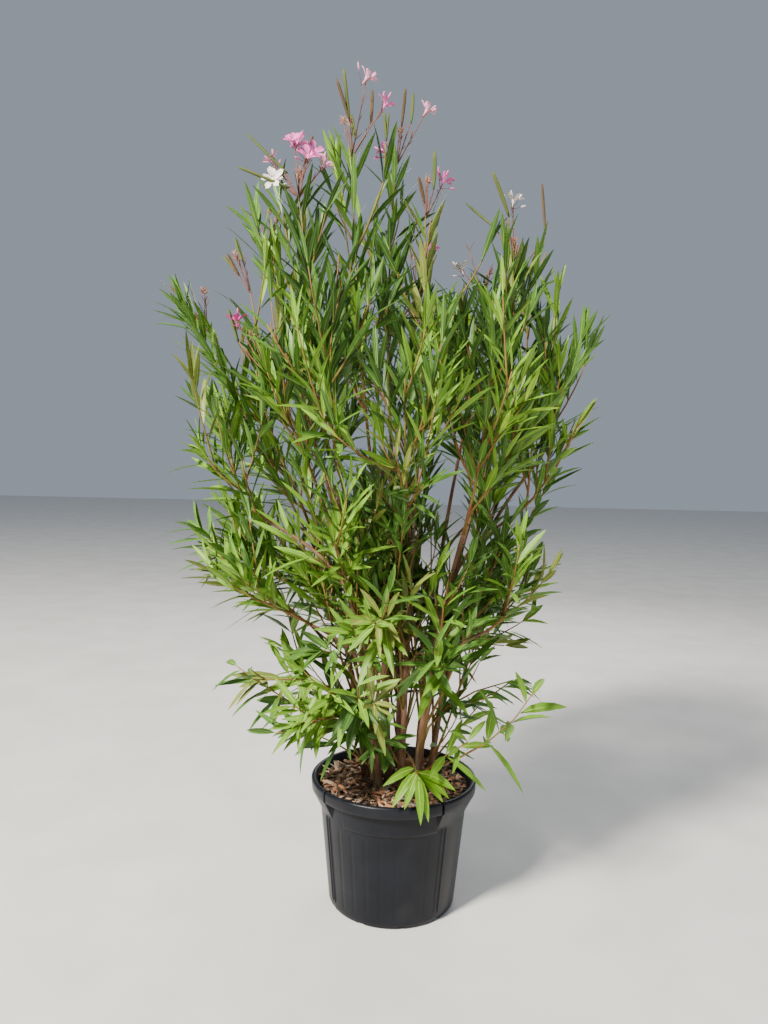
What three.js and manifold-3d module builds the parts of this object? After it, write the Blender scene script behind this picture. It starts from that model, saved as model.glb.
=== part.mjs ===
// A potted oleander: a clump of canes in a round nursery pot, with leaves, flowers and seed pods.
// Millimetres, +Z up. The origin is the centre of the pot's underside, and the front faces -Y.
import * as THREE from "three";
import { mergeVertices } from "three/addons/utils/BufferGeometryUtils.js";
import Module from "manifold-3d";

const wasm = await Module();
wasm.setup();

// Clear gap between neighbouring solids
const GAP = 0.3;

// The pot: radii and heights from its underside up
const POT = {
  sides: 40,
  baseRadius: 190,
  corner: 9,
  shoulderRadius: 225,
  lipBottom: 344,
  lipRadius: 248,
  lipSwell: 2,
  lipRound: 8,
  height: 378,
  wall: 3.5,
  floor: 5,
};

// Plain lip and band on two sides of the pot, hand grips on the other two (degrees from +X)
const FRONT_MIDDLE = 260;
const FRONT_HALF = 43.5;
const GRIP_DEPTH = 54;
const SLIT = 4;
const BAND = { middle: 266.5, half: 37, bottom: 281, raised: 3 };
const RIB = { angles: [-41, -37, 37, 41], bottom: 24, top: 292, width: 5, raised: 3 };
const DRAIN = { count: 10, width: 16, height: 7 };

// The potting soil, level where the stems stand
const SOIL_TOP = 352;

// Stems: foot and top as [degrees from +X, distance from the axis], foot radius, top height
const TOP_RADIUS = 5.5;
const STEMS = {
  stem_left_front: { foot: [222, 62], radius: 12, top: [219, 290, 1230] },
  stem_front: { foot: [299, 46], radius: 12, top: [297, 101, 1300] },
  stem_right: { foot: [350, 71], radius: 13, top: [358, 255, 1300] },
  stem_middle_left: { foot: [146, 22], radius: 14, top: [192, 97, 1370] },
  stem_middle_back: { foot: [66, 60], radius: 13, top: [117, 67, 1390] },
  stem_left: { foot: [156, 94], radius: 12, top: [177, 270, 1130] },
  stem_left_high: { foot: [182, 60], radius: 11, top: [198, 199, 1350] },
  stem_back_left: { foot: [120, 101], radius: 11, top: [151, 280, 1300] },
  stem_back_right: { foot: [51, 119], radius: 12, top: [38, 236, 1340] },
  stem_right_outer: { foot: [17, 117], radius: 11, top: [12, 325, 1250] },
  stem_back: { foot: [83, 103], radius: 11, top: [84, 250, 1260] },
  stem_front_right: { foot: [318, 84], radius: 10, top: [307, 280, 1130] },
};

// Boughs: the stem each leaves, how far up it, and the tip as [degrees, distance, height]
const BOUGH_RADIUS = 6.5;
const BOUGH_TIP_RADIUS = 4.8;
const BOUGHS = {
  bough_left: { on: "stem_left_front", at: 0.62, tip: [200, 400, 1150] },
  bough_right: { on: "stem_right", at: 0.62, tip: [346, 345, 1180] },
  bough_right_high: { on: "stem_right_outer", at: 0.74, tip: [1, 415, 1340] },
  bough_front_left_low: { on: "stem_left_front", at: 0.36, tip: [213, 290, 860] },
  bough_front_right_low: { on: "stem_front_right", at: 0.42, tip: [330, 290, 850] },
  bough_front: { on: "stem_front", at: 0.6, tip: [274, 250, 1180] },
  bough_front_left: { on: "stem_front", at: 0.78, tip: [244, 265, 1340] },
  bough_back_left: { on: "stem_back_left", at: 0.6, tip: [136, 350, 1110] },
  bough_back_right: { on: "stem_back_right", at: 0.6, tip: [47, 345, 1130] },
  bough_left_high: { on: "stem_left_high", at: 0.72, tip: [190, 300, 1400] },
};

// Masses of foliage: the limb each grows from (at 1 from its tip), the tip of the leading shoot as
// [degrees, distance, height], how many side shoots it has and how long they are
const MASSES = {
  top_left: { on: "stem_middle_left", at: 1, tip: [197, 169, 2200], sides: 5, reach: 320 },
  top_right: { on: "stem_middle_back", at: 1, tip: [113, 87, 2225], sides: 5, reach: 310 },
  top_front: { on: "stem_front", at: 1, tip: [312, 80, 2030], sides: 4, reach: 280 },
  left_crest: { on: "stem_left_high", at: 1, tip: [201, 325, 2060], sides: 4, reach: 270 },
  left_back_crest: { on: "stem_back_left", at: 1, tip: [165, 430, 1990], sides: 4, reach: 260 },
  left_front: { on: "stem_left_front", at: 1, tip: [212, 440, 1555], sides: 3, reach: 220 },
  left_wing: { on: "stem_left", at: 1, tip: [178, 590, 1720], sides: 4, reach: 230 },
  right_crest: { on: "stem_right", at: 1, tip: [351, 318, 1890], sides: 4, reach: 260 },
  right_back_crest: { on: "stem_back_right", at: 1, tip: [37, 325, 1870], sides: 4, reach: 260 },
  right_outer: { on: "stem_right_outer", at: 1, tip: [19, 385, 1930], sides: 4, reach: 230 },
  back_crest: { on: "stem_back", at: 1, tip: [82, 330, 1930], sides: 4, reach: 270 },
  front_right: { on: "stem_front_right", at: 1, tip: [303, 400, 1590], sides: 4, reach: 230 },
  left_side: { on: "bough_left", at: 1, tip: [195, 500, 1340], sides: 3, reach: 180 },
  right_side: { on: "bough_right", at: 1, tip: [344, 440, 1420], sides: 3, reach: 190 },
  right_wing: { on: "bough_right_high", at: 1, tip: [358, 430, 1650], sides: 3, reach: 190 },
  front_left_low: { on: "bough_front_left_low", at: 1, tip: [208, 445, 1000], sides: 3, reach: 180 },
  front_right_low: { on: "bough_front_right_low", at: 1, tip: [338, 335, 1000], sides: 4, reach: 180 },
  front: { on: "bough_front", at: 1, tip: [270, 390, 1440], sides: 4, reach: 210 },
  front_left: { on: "bough_front_left", at: 1, tip: [242, 390, 1680], sides: 4, reach: 210 },
  back_left: { on: "bough_back_left", at: 1, tip: [133, 470, 1520], sides: 4, reach: 230 },
  back_right: { on: "bough_back_right", at: 1, tip: [46, 450, 1550], sides: 4, reach: 230 },
  left_high: { on: "bough_left_high", at: 1, tip: [192, 450, 1800], sides: 3, reach: 200 },
  left_low: { on: "stem_left", at: 0.55, tip: [170, 520, 1040], sides: 4, reach: 220 },
  front_low: { on: "stem_left_front", at: 0.42, tip: [243, 300, 1110], sides: 4, reach: 190 },
  back_low: { on: "stem_back", at: 0.5, tip: [100, 380, 1090], sides: 4, reach: 220 },
  skirt_left: { on: "stem_left", at: 0.18, tip: [203, 350, 700], sides: 4, reach: 150 },
  skirt_front_left: { on: "stem_left_front", at: 0.14, tip: [226, 270, 610], sides: 3, reach: 130 },
  skirt_right: { on: "stem_right", at: 0.1, tip: [350, 350, 690], sides: 4, reach: 150 },
  skirt_right_back: { on: "stem_back_right", at: 0.3, tip: [14, 350, 760], sides: 4, reach: 170 },
  front_sprig: { on: "stem_front_right", at: 0.28, tip: [294, 300, 770], sides: 4, reach: 170 },
  left_sprig: { on: "stem_left_front", at: 0.2, tip: [248, 260, 680], sides: 4, reach: 150 },
  middle_sprig: { on: "stem_front", at: 0.36, tip: [264, 255, 900], sides: 4, reach: 180 },
  rim_sprig: { on: "stem_front", at: 0.07, tip: [284, 205, 440], sides: 0, reach: 0, leaf: 0.65 },
  skirt_back_left: { on: "stem_back_left", at: 0.3, tip: [128, 350, 790], sides: 3, reach: 180 },
  skirt_back: { on: "stem_back", at: 0.16, tip: [78, 330, 700], sides: 3, reach: 170 },
};

// The crown's outline: its reach to the left and to the right at each height, and how deep it is
// beside its width
const CROWN = [
  { height: 260, left: 330, right: 400 },
  { height: 500, left: 450, right: 520 },
  { height: 640, left: 560, right: 540 },
  { height: 820, left: 520, right: 440 },
  { height: 1000, left: 680, right: 480 },
  { height: 1200, left: 690, right: 470 },
  { height: 1400, left: 640, right: 560 },
  { height: 1720, left: 715, right: 590 },
  { height: 1860, left: 690, right: 510 },
  { height: 1950, left: 520, right: 460 },
  { height: 2100, left: 510, right: 400 },
  { height: 2200, left: 400, right: 230 },
  { height: 2340, left: 150, right: 100 },
];
const CROWN_DEPTH = 0.87;
const RIM_CLEARANCE = 14;

// Heads: stalks as [lean to the right from upright, length], with pods as the same pair
// or the lean of a flower
const HEADS = {
  top_left: [
    { stalk: [-4, 95], pods: [[-21, 113], [-8, 133]] },
    { stalk: [8, 62], pods: [[-10, 94]] },
    { stalk: [10, 222], flower: 40 },
    { stalk: [27, 118], pods: [[1, 109]] },
    { stalk: [33, 170], flower: 30 },
  ],
  top_right: [
    { stalk: [-20, 88], pods: [[-6, 80], [4, 80]] },
    { stalk: [8, 116], pods: [[5, 100]] },
    { stalk: [18, 142], pods: [[3, 92]] },
    { stalk: [27, 200], flower: 35 },
    { stalk: [-38, 60], flower: -60 },
  ],
  top_front: [
    { stalk: [14, 90], pods: [[0, 105]] },
    { stalk: [24, 130], flower: 25 },
    { stalk: [-4, 50], pods: [[-12, 90]] },
  ],
  left_crest: [
    { stalk: [-27, 86], pods: [[-46, 165]] },
    { stalk: [-48, 40], pods: [[-70, 152]] },
    { stalk: [8, 92], pods: [[16, 84]] },
    { stalk: [-6, 180], flower: -10 },
    { stalk: [-52, 90], flower: -50 },
    { stalk: [20, 115], flower: 20 },
    { stalk: [-36, 150], flower: -35 },
  ],
  left_back_crest: [
    { stalk: [-30, 110], pods: [] },
    { stalk: [10, 70], pods: [[14, 60]] },
  ],
  left_high: [
    { stalk: [-16, 100], pods: [[-20, 80]] },
    { stalk: [-35, 70], pods: [[-40, 80], [-30, 75]] },
  ],
  left_front: [
    { stalk: [-30, 160], flower: -5 },
    { stalk: [-42, 120], pods: [[-18, 90]] },
  ],
  left_wing: [{ stalk: [-45, 20], pods: [[-43, 148]] }],
  right_crest: [
    { stalk: [-20, 145], pods: [[-44, 140]] },
    { stalk: [-10, 150], pods: [[-25, 130]] },
    { stalk: [-2, 200], flower: 10 },
  ],
  right_outer: [
    { stalk: [2, 130], pods: [[-5, 146]] },
    { stalk: [-14, 160], pods: [] },
  ],
  right_back_crest: [
    { stalk: [-38, 120], flower: -20 },
    { stalk: [-18, 165], pods: [] },
  ],
  back_crest: [
    { stalk: [-10, 110], pods: [[-14, 120]] },
    { stalk: [20, 140], flower: 20 },
  ],
  back_left: [{ stalk: [-20, 100], pods: [[-25, 120], [-10, 110]] }],
  back_right: [{ stalk: [15, 110], flower: 20 }],
};

// Limbs: how they bend and how a stem flares at its foot
const STEM_BEND = { across: 0.25, up: 0.55 };
const BOUGH_BEND = 0.4;
const LEADER_BEND = 0.45;
const FLARE = 0.4;
const FLARE_HEIGHT = 90;

// Shoots, leaves, pods and flowers
const SHOOT_RADIUS = 5;
const SHOOT_TIP_RADIUS = 3.2;
const GOLDEN_TURN = 137.5;
const SIDE_SHARES = [1, 0.75, 0.55, 0.4];
const LEAN_SHARES = [1, 0.8, 0.5];
const LEAF = { length: 200, width: 46, widest: 0.42, keel: 3, spacing: 180 };
const STALK = { radius: 1.8, swing: 40, sunk: 5 };
const POD = { radius: 6.5, sunk: 5 };
const FLOWER = { radius: 27, notch: 9, cup: 5, funnel: 14 };

// How much nearer a twig or leaf lies to its own leader than to any other
const CELL_MARGIN = 6;

const UP = new THREE.Vector3(0, 0, 1);
const radians = THREE.MathUtils.degToRad;

// The point at an angle in degrees, a distance from the axis and a height.
function polar([angle, distance, height]) {
  return new THREE.Vector3(
    distance * Math.cos(radians(angle)),
    distance * Math.sin(radians(angle)),
    height,
  );
}

// A repeatable run of numbers from 0 to 1, the same in any language with whole numbers up to 2^53.
function seeded(seed) {
  let state = seed;
  return () => {
    state = (state * 1664525 + 1013904223) % 4294967296;
    return state / 4294967296;
  };
}

// A closed geometry as a solid that can be cut and joined.
function solid(geometry) {
  const bare = geometry.clone();
  bare.deleteAttribute("normal");
  bare.deleteAttribute("uv");
  const merged = mergeVertices(bare, 1e-4);
  return new wasm.Manifold(
    new wasm.Mesh({
      numProp: 3,
      vertProperties: new Float32Array(merged.attributes.position.array),
      triVerts: new Uint32Array(merged.index.array),
    }),
  );
}

// A solid from vertices and the triangles between them.
function facets(vertices, triangles) {
  return new wasm.Manifold(
    new wasm.Mesh({
      numProp: 3,
      vertProperties: new Float32Array(vertices.flatMap((v) => v.toArray())),
      triVerts: new Uint32Array(triangles.flat()),
    }),
  );
}

// A solid back as a geometry, its vertices set to a thousandth of a millimetre.
function geometryOf(made) {
  const mesh = made.getMesh();
  const places = Float32Array.from(mesh.vertProperties, (value) => Math.round(1000 * value) / 1000);
  const geometry = new THREE.BufferGeometry();
  geometry.setAttribute("position", new THREE.BufferAttribute(places, 3));
  geometry.setIndex(new THREE.BufferAttribute(new Uint32Array(mesh.triVerts), 1));
  return geometry;
}

// The largest body of a solid, without loose scrap or a hollow that fusing has sealed.
function largest(made) {
  const bodies = solid(geometryOf(made)).decompose();
  return bodies.reduce((a, b) => (a.volume() > b.volume() ? a : b));
}

// Two directions square to an axis and to each other, the second a quarter turn on round the axis.
function squareTo(axis) {
  const across = new THREE.Vector3().crossVectors(axis, UP).normalize();
  const over = new THREE.Vector3().crossVectors(axis, across);
  return [across, over];
}

// The direction at an angle from an axis, turned round it.
function lean(axis, angle, turn) {
  const [across, over] = squareTo(axis);
  return axis
    .clone()
    .multiplyScalar(Math.cos(angle))
    .addScaledVector(across, Math.sin(angle) * Math.cos(turn))
    .addScaledVector(over, Math.sin(angle) * Math.sin(turn))
    .normalize();
}

// A limb or shoot: a curve with a radius at each end, and a flare over the foot of a stem.
class Limb {
  constructor(curve, startRadius, endRadius, sides, steps, flare = 0) {
    this.curve = curve;
    this.startRadius = startRadius;
    this.endRadius = endRadius;
    this.sides = sides;
    this.steps = steps;
    this.flare = flare;
    this.length = curve.getLength();
    this.points = curve.getPoints(steps);
  }

  radiusAt(t) {
    const foot = Math.max(0, 1 - (t * this.length) / FLARE_HEIGHT);
    return this.startRadius + (this.endRadius - this.startRadius) * t + this.flare * foot ** 2;
  }

  // Distance from a straight line to the limb's surface.
  clearOf(from, to) {
    let least = Infinity;
    for (let i = 0; i < this.steps; i++) {
      const between = lineDistance(from, to, this.points[i], this.points[i + 1]);
      least = Math.min(least, between - this.radiusAt(i / this.steps));
    }
    return least;
  }

  // Rings of vertices along the curve with a flat end on each. Grown, it is what must be kept clear.
  solid(grow = 0) {
    const facet = grow / Math.cos(Math.PI / this.sides);
    let [across, over] = squareTo(this.curve.getTangent(0));
    const rings = this.points.map((point, i) => {
      const t = i / this.steps;
      const tangent = this.curve.getTangent(t);
      over = new THREE.Vector3().crossVectors(tangent, across).normalize();
      across = new THREE.Vector3().crossVectors(over, tangent);
      const centre = point.clone();
      if (i === this.steps) centre.addScaledVector(tangent, grow);
      const radius = this.radiusAt(t) + facet;
      return Array.from({ length: this.sides }, (_, k) => {
        const turn = (k / this.sides) * 2 * Math.PI;
        const vertex = centre
          .clone()
          .addScaledVector(across, radius * Math.cos(turn))
          .addScaledVector(over, radius * Math.sin(turn));
        if (i === 0 && this.flare) vertex.z = point.z;
        return vertex;
      });
    });
    const n = this.sides;
    const last = this.steps * n;
    const triangles = [];
    for (let i = 0; i < this.steps; i++) {
      for (let k = 0; k < n; k++) {
        const a = i * n + k;
        const b = i * n + ((k + 1) % n);
        triangles.push([a, b, b + n], [a, b + n, a + n]);
      }
    }
    for (let k = 1; k < n - 1; k++) {
      triangles.push([0, k + 1, k], [last, last + k, last + k + 1]);
    }
    return facets(rings.flat(), triangles);
  }
}

// Least distance between two straight lines, each from one point to another.
function lineDistance(p, q, r, s) {
  const u = q.clone().sub(p);
  const v = s.clone().sub(r);
  const w = p.clone().sub(r);
  const [a, b, c, d, e] = [u.dot(u), u.dot(v), v.dot(v), u.dot(w), v.dot(w)];
  const clamp = (x) => Math.min(1, Math.max(0, x));
  const det = a * c - b * b;
  let onFirst = det > 1e-9 ? clamp((b * e - c * d) / det) : 0;
  const onSecond = clamp((b * onFirst + e) / c);
  onFirst = a > 1e-9 ? clamp((b * onSecond - d) / a) : 0;
  return w.addScaledVector(u, onFirst).addScaledVector(v, -onSecond).length();
}

// Whether a point lies inside the crown's outline and clear of the pot.
function inCrown({ x, y, z }) {
  const above = CROWN.findIndex(({ height }) => height > z);
  const distance = Math.hypot(x, y);
  if (z < POT.height + RIM_CLEARANCE && distance < POT.lipRadius + RIM_CLEARANCE) return false;
  if (above < 1) return false;
  const [low, high] = CROWN.slice(above - 1, above + 1);
  const share = (z - low.height) / (high.height - low.height);
  const left = low.left + share * (high.left - low.left);
  const right = low.right + share * (high.right - low.right);
  const deep = (CROWN_DEPTH * (left + right)) / 2;
  return Math.hypot(x / (x < 0 ? left : right), y / deep) < 1;
}

// A curve that sets out one way and ends at a tip.
function arc(start, heading, tip, share) {
  const bend = heading.clone().multiplyScalar(share * start.distanceTo(tip)).add(start);
  return new THREE.QuadraticBezierCurve3(start, bend, tip);
}

// The outer radius of the pot's wall at a height.
function wallAt(z) {
  return POT.baseRadius + ((POT.shoulderRadius - POT.baseRadius) * z) / POT.lipBottom;
}

// A profile of [radius, height] pairs turned round the axis.
function turned(points) {
  const profile = points.map(([radius, z]) => new THREE.Vector2(radius, z));
  return solid(new THREE.LatheGeometry(profile, POT.sides).rotateX(Math.PI / 2));
}

// A wedge of the pot's full height, reaching half to each side of its middle angle.
function wedge(middle, half) {
  const reach = 2 * POT.lipRadius;
  const outline = new THREE.Shape();
  outline.moveTo(0, 0);
  for (const share of [-1, -0.5, 0, 0.5, 1]) {
    const angle = radians(middle + share * half);
    outline.lineTo(reach * Math.cos(angle), reach * Math.sin(angle));
  }
  return solid(new THREE.ExtrudeGeometry(outline, { depth: POT.height, bevelEnabled: false }));
}

// A block set on the wall: [depth, width, height] round a point at a radius, height and angle.
function block(size, radius, z, angle, tilt = 0) {
  const made = new THREE.BoxGeometry(...size).rotateY(tilt).translate(radius, 0, z);
  return solid(made.rotateZ(radians(angle)));
}

// The pot's wall, floor and rolled lip as one profile.
function shell() {
  const crest = POT.height - POT.lipRound;
  return turned([
    [0, 0],
    [POT.baseRadius - POT.corner, 0],
    [POT.baseRadius - 0.3 * POT.corner, 0.3 * POT.corner],
    [wallAt(POT.corner), POT.corner],
    [wallAt(POT.lipBottom), POT.lipBottom],
    [POT.lipRadius, POT.lipBottom],
    [POT.lipRadius + POT.lipSwell, crest],
    [POT.lipRadius - 0.25 * POT.lipRound, POT.height - 0.25 * POT.lipRound],
    [POT.lipRadius - POT.lipRound, POT.height],
    [POT.lipRadius - 1.6 * POT.lipRound, POT.height - 0.4 * POT.lipRound],
    [wallAt(POT.lipBottom) - POT.wall, POT.lipBottom],
    [wallAt(0) - POT.wall, POT.floor],
    [0, POT.floor],
  ]);
}

// The raised band under the plain lip.
function band(middle) {
  const root = (z) => [wallAt(z) - 1, z];
  const face = (z) => [wallAt(z) + BAND.raised, z];
  const top = POT.lipBottom + 1;
  const ring = turned([root(BAND.bottom), face(BAND.bottom), face(top), root(top), root(BAND.bottom)]);
  return ring.intersect(wedge(middle, BAND.half));
}

// A hand grip, where the lip slopes into the wall, with ribs on the wall below it.
function grip(middle) {
  const bottom = POT.lipBottom - GRIP_DEPTH;
  const top = POT.lipBottom + 1;
  const root = [wallAt(bottom) - 1, bottom];
  const ring = turned([root, [POT.lipRadius, top], [wallAt(top) - 1, top], root]);
  const tilt = Math.atan((POT.shoulderRadius - POT.baseRadius) / POT.lipBottom);
  const size = [2 * RIB.raised, RIB.width, RIB.top - RIB.bottom];
  const z = (RIB.top + RIB.bottom) / 2;
  const ribs = RIB.angles.map((angle) => block(size, wallAt(z), z, middle + angle, tilt));
  return wasm.Manifold.union([ring.intersect(wedge(middle, 90 - FRONT_HALF)), ...ribs]);
}

// The whole pot: both sides of it alike, slits where the lip changes, drain notches underneath.
function pot() {
  const added = [0, 180].flatMap((side) => [
    band(BAND.middle + side),
    grip(FRONT_MIDDLE + 90 + side),
  ]);
  const overhang = POT.lipRadius - wallAt(POT.lipBottom);
  const slit = [2 * overhang, SLIT, 2 * POT.lipRound];
  const slits = [0, 180].flatMap((side) =>
    [-FRONT_HALF, FRONT_HALF].map((half) =>
      block(slit, POT.lipRadius + overhang - SLIT, POT.height, FRONT_MIDDLE + side + half),
    ),
  );
  const notch = [3 * POT.corner, DRAIN.width, 2 * DRAIN.height];
  const drains = Array.from({ length: DRAIN.count }, (_, i) =>
    block(notch, POT.baseRadius, 0, FRONT_MIDDLE + (360 * (i + 0.5)) / DRAIN.count),
  );
  const whole = wasm.Manifold.union([shell(), ...added]);
  return largest(whole.subtract(wasm.Manifold.union([...slits, ...drains])));
}

// The soil, which fills the pot to just under its rim.
function soil() {
  const inner = wallAt(POT.lipBottom) - POT.wall - GAP;
  return turned([
    [0, POT.floor + GAP],
    [wallAt(0) - POT.wall - GAP, POT.floor + GAP],
    [inner, POT.lipBottom],
    [inner, SOIL_TOP],
    [0, SOIL_TOP],
  ]);
}

// Stems from the level of the soil, then boughs cut clear of the stem that each leaves.
function limbs() {
  const made = {};
  for (const [name, { foot, radius, top }] of Object.entries(STEMS)) {
    const start = polar([...foot, SOIL_TOP + GAP]);
    const tip = polar(top);
    const bend = start.clone().lerp(tip, STEM_BEND.across);
    bend.z = start.z + STEM_BEND.up * (tip.z - start.z);
    const curve = new THREE.QuadraticBezierCurve3(start, bend, tip);
    made[name] = new Limb(curve, radius, TOP_RADIUS, 6, 5, FLARE * radius);
  }
  for (const [name, { on, at, tip }] of Object.entries(BOUGHS)) {
    const stem = made[on].curve;
    const curve = arc(stem.getPoint(at), stem.getTangent(at), polar(tip), BOUGH_BEND);
    made[name] = new Limb(curve, BOUGH_RADIUS, BOUGH_TIP_RADIUS, 5, 4);
    made[name].parent = made[on];
  }
  return made;
}

// The leading shoot of each mass, from the tip or the side of its limb.
function leaders(made) {
  return Object.entries(MASSES).map(([name, mass]) => {
    const limb = made[mass.on];
    const start = limb.curve.getPoint(mass.at);
    const curve = arc(start, limb.curve.getTangent(mass.at), polar(mass.tip), LEADER_BEND);
    const shoot = new Limb(curve, SHOOT_RADIUS, SHOOT_TIP_RADIUS, 3, 5);
    return { name, ...mass, limb, shoots: [shoot], leaves: [], path: curve.getPoints(10) };
  });
}

// Side shoots: each leaves the leader a golden turn on from the last, then bends upwards.
function sideShoots(mass, index, inCell) {
  const random = seeded(index + 1);
  const leader = mass.shoots[0].curve;
  for (let i = 0; i < mass.sides; i++) {
    const t = 0.08 + (0.66 * (i + 0.3 + 0.4 * random())) / mass.sides;
    const turn = radians(47 * index + GOLDEN_TURN * i + 40 * random());
    const angle = radians(34 + 14 * random());
    const reach = mass.reach * (0.8 + 0.4 * random()) * (1 - 0.3 * t);
    const start = leader.getPoint(t);
    const heading = lean(leader.getTangent(t), angle, turn);
    for (const share of SIDE_SHARES) {
      const tip = start
        .clone()
        .addScaledVector(heading, 0.92 * share * reach)
        .addScaledVector(UP, 0.24 * share * reach);
      const side = new Limb(arc(start, heading, tip, 0.5), 0.8 * SHOOT_RADIUS, SHOOT_TIP_RADIUS, 3, 2);
      const ahead = tip.clone().addScaledVector(side.curve.getTangent(1), 0.6 * LEAF.length);
      if (inCell(mass, [...side.points.slice(1), ahead], start, tip, side.startRadius + 3)) {
        mass.shoots.push(side);
        break;
      }
    }
  }
}

// A leaf of six faces: a flat top from root to tip, and a keel under its midrib.
function leafSolid(root, heading, axis, length, width) {
  const face = axis.clone().addScaledVector(heading, -axis.dot(heading)).normalize();
  const side = new THREE.Vector3().crossVectors(heading, face);
  const tip = root.clone().addScaledVector(heading, length);
  const middle = root.clone().addScaledVector(heading, LEAF.widest * length);
  const left = middle.clone().addScaledVector(side, width / 2);
  const right = middle.clone().addScaledVector(side, -width / 2);
  const keel = middle.clone().addScaledVector(face, -LEAF.keel);
  return facets(
    [root, tip, left, right, keel],
    [
      [0, 2, 3],
      [0, 4, 2],
      [0, 3, 4],
      [1, 3, 2],
      [1, 2, 4],
      [1, 4, 3],
    ],
  );
}

// Whorls of three leaves along a shoot, more upright towards its tip.
function leaves(mass, shoot, random, inCell) {
  const from = shoot !== mass.shoots[0] ? 0.3 : mass.sides ? 0.1 : 0.5;
  const size = LEAF.length * (mass.leaf ?? 1);
  const upTo = shoot === mass.shoots[0] && HEADS[mass.name] ? 0.84 : 0.985;
  const count = Math.max(2, Math.round(((1 - from) * shoot.length) / LEAF.spacing));
  const made = [];
  for (let whorl = 0; whorl < count; whorl++) {
    const t = from + ((upTo - from) * whorl) / (count - 1);
    const root = shoot.curve.getPoint(t);
    const axis = shoot.curve.getTangent(t);
    const before = [...mass.leaves];
    for (let k = 0; k < 3; k++) {
      const turn = radians(60 * whorl + 120 * k + 30 * random());
      const angle = radians(52 - 26 * t + 8 * random());
      const length = size * (0.86 + 0.24 * random());
      const width = (LEAF.width * length) / LEAF.length;
      for (const share of LEAN_SHARES) {
        const heading = lean(axis, share * angle, turn);
        const tip = root.clone().addScaledVector(heading, length);
        const middle = root.clone().addScaledVector(heading, LEAF.widest * length);
        const near = root.clone().addScaledVector(heading, 2 * SHOOT_RADIUS);
        if (!inCell(mass, [middle, tip], near, tip, 0.3 * width)) continue;
        if (mass.shoots.some((other) => other !== shoot && other.clearOf(near, tip) < 1)) continue;
        const leaf = leafSolid(root, heading, axis, length, width);
        if (before.some((other) => leaf.intersect(other).volume() > 0)) continue;
        mass.leaves.push(leaf);
        break;
      }
    }
  }
}

// A seed pod: a long three-sided spindle.
function podSolid(start, heading, length) {
  const [across, over] = squareTo(heading);
  const ring = [0, 1, 2].map((k) =>
    start
      .clone()
      .addScaledVector(heading, 0.4 * length)
      .addScaledVector(across, POD.radius * Math.cos((k * 2 * Math.PI) / 3))
      .addScaledVector(over, POD.radius * Math.sin((k * 2 * Math.PI) / 3)),
  );
  const root = start.clone().addScaledVector(heading, -POD.sunk);
  const tip = start.clone().addScaledVector(heading, length);
  return facets(
    [root, ...ring, tip],
    [
      [0, 2, 1],
      [0, 3, 2],
      [0, 1, 3],
      [4, 1, 2],
      [4, 2, 3],
      [4, 3, 1],
    ],
  );
}

// An open flower: five petals round a shallow funnel.
function flowerSolid(centre, heading) {
  const [across, over] = squareTo(heading);
  const rim = Array.from({ length: 10 }, (_, k) => {
    const radius = k % 2 ? FLOWER.notch : FLOWER.radius;
    return centre
      .clone()
      .addScaledVector(heading, k % 2 ? 0 : FLOWER.cup)
      .addScaledVector(across, radius * Math.cos((k * Math.PI) / 5))
      .addScaledVector(over, radius * Math.sin((k * Math.PI) / 5));
  });
  const above = centre.clone().addScaledVector(heading, 1);
  const below = centre.clone().addScaledVector(heading, -FLOWER.funnel);
  const triangles = rim.flatMap((_, k) => {
    const next = (k + 1) % 10;
    return [
      [10, k, next],
      [11, next, k],
    ];
  });
  return facets([...rim, above, below], triangles);
}

// The head on a leader: straight stalks from inside its tip, which carry pods or a flower.
function head(mass, random) {
  const made = [];
  const leader = mass.shoots[0].curve;
  const root = leader.getPoint(1).addScaledVector(leader.getTangent(1), -STALK.sunk);
  for (const { stalk, pods = [], flower } of HEADS[mass.name] ?? []) {
    const swing = radians(STALK.swing * (random() - 0.5));
    const end = root.clone().addScaledVector(upright(stalk[0], swing), stalk[1]);
    made.push(new Limb(new THREE.LineCurve3(root, end), STALK.radius, STALK.radius, 3, 1).solid());
    for (const [angle, length] of pods) {
      made.push(podSolid(end, upright(angle, swing + radians(12 * (random() - 0.5))), length));
    }
    if (flower !== undefined) made.push(flowerSolid(end, upright(flower, swing + radians(35))));
  }
  return made;
}

// A direction that leans to the right from upright in degrees, and swings forward.
function upright(angle, swing) {
  const [s, c] = [Math.sin(radians(angle)), Math.cos(radians(angle))];
  return new THREE.Vector3(s * Math.cos(swing), -Math.sin(swing), c * Math.cos(swing));
}

// Each mass fused into one body: shoots, leaves and head, cut clear of its limb.
function foliage(made) {
  const masses = leaders(made);
  const all = Object.values(made);
  const toPath = (path, point) =>
    Math.min(...path.slice(1).map((end, i) => lineDistance(point, point, path[i], end)));
  const inCell = (mass, samples, from, to, spare) =>
    samples.every((point) => {
      if (!inCrown(point)) return false;
      const own = toPath(mass.path, point) + CELL_MARGIN;
      return masses.every((other) => other === mass || toPath(other.path, point) > own);
    }) && all.every((limb) => limb.clearOf(from, to) > spare);
  masses.forEach((mass, index) => sideShoots(mass, index, inCell));
  return masses.map((mass, index) => {
    const random = seeded(1000 + index);
    const pieces = mass.shoots.map((shoot) => shoot.solid());
    for (const shoot of mass.shoots) leaves(mass, shoot, random, inCell);
    pieces.push(...mass.leaves);
    pieces.push(...head(mass, random));
    const fused = wasm.Manifold.union(pieces).subtract(mass.limb.solid(GAP));
    return [mass.name, largest(fused)];
  });
}

const COLOURS = {
  pot: { color: 0x2b2c30, roughness: 0.55, metalness: 0 },
  soil: { color: 0x4a3222, roughness: 0.95, metalness: 0 },
  bark: { color: 0x6b4a33, roughness: 0.85, metalness: 0 },
  leaf: { color: 0x5c8a2e, roughness: 0.5, metalness: 0 },
};

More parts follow.
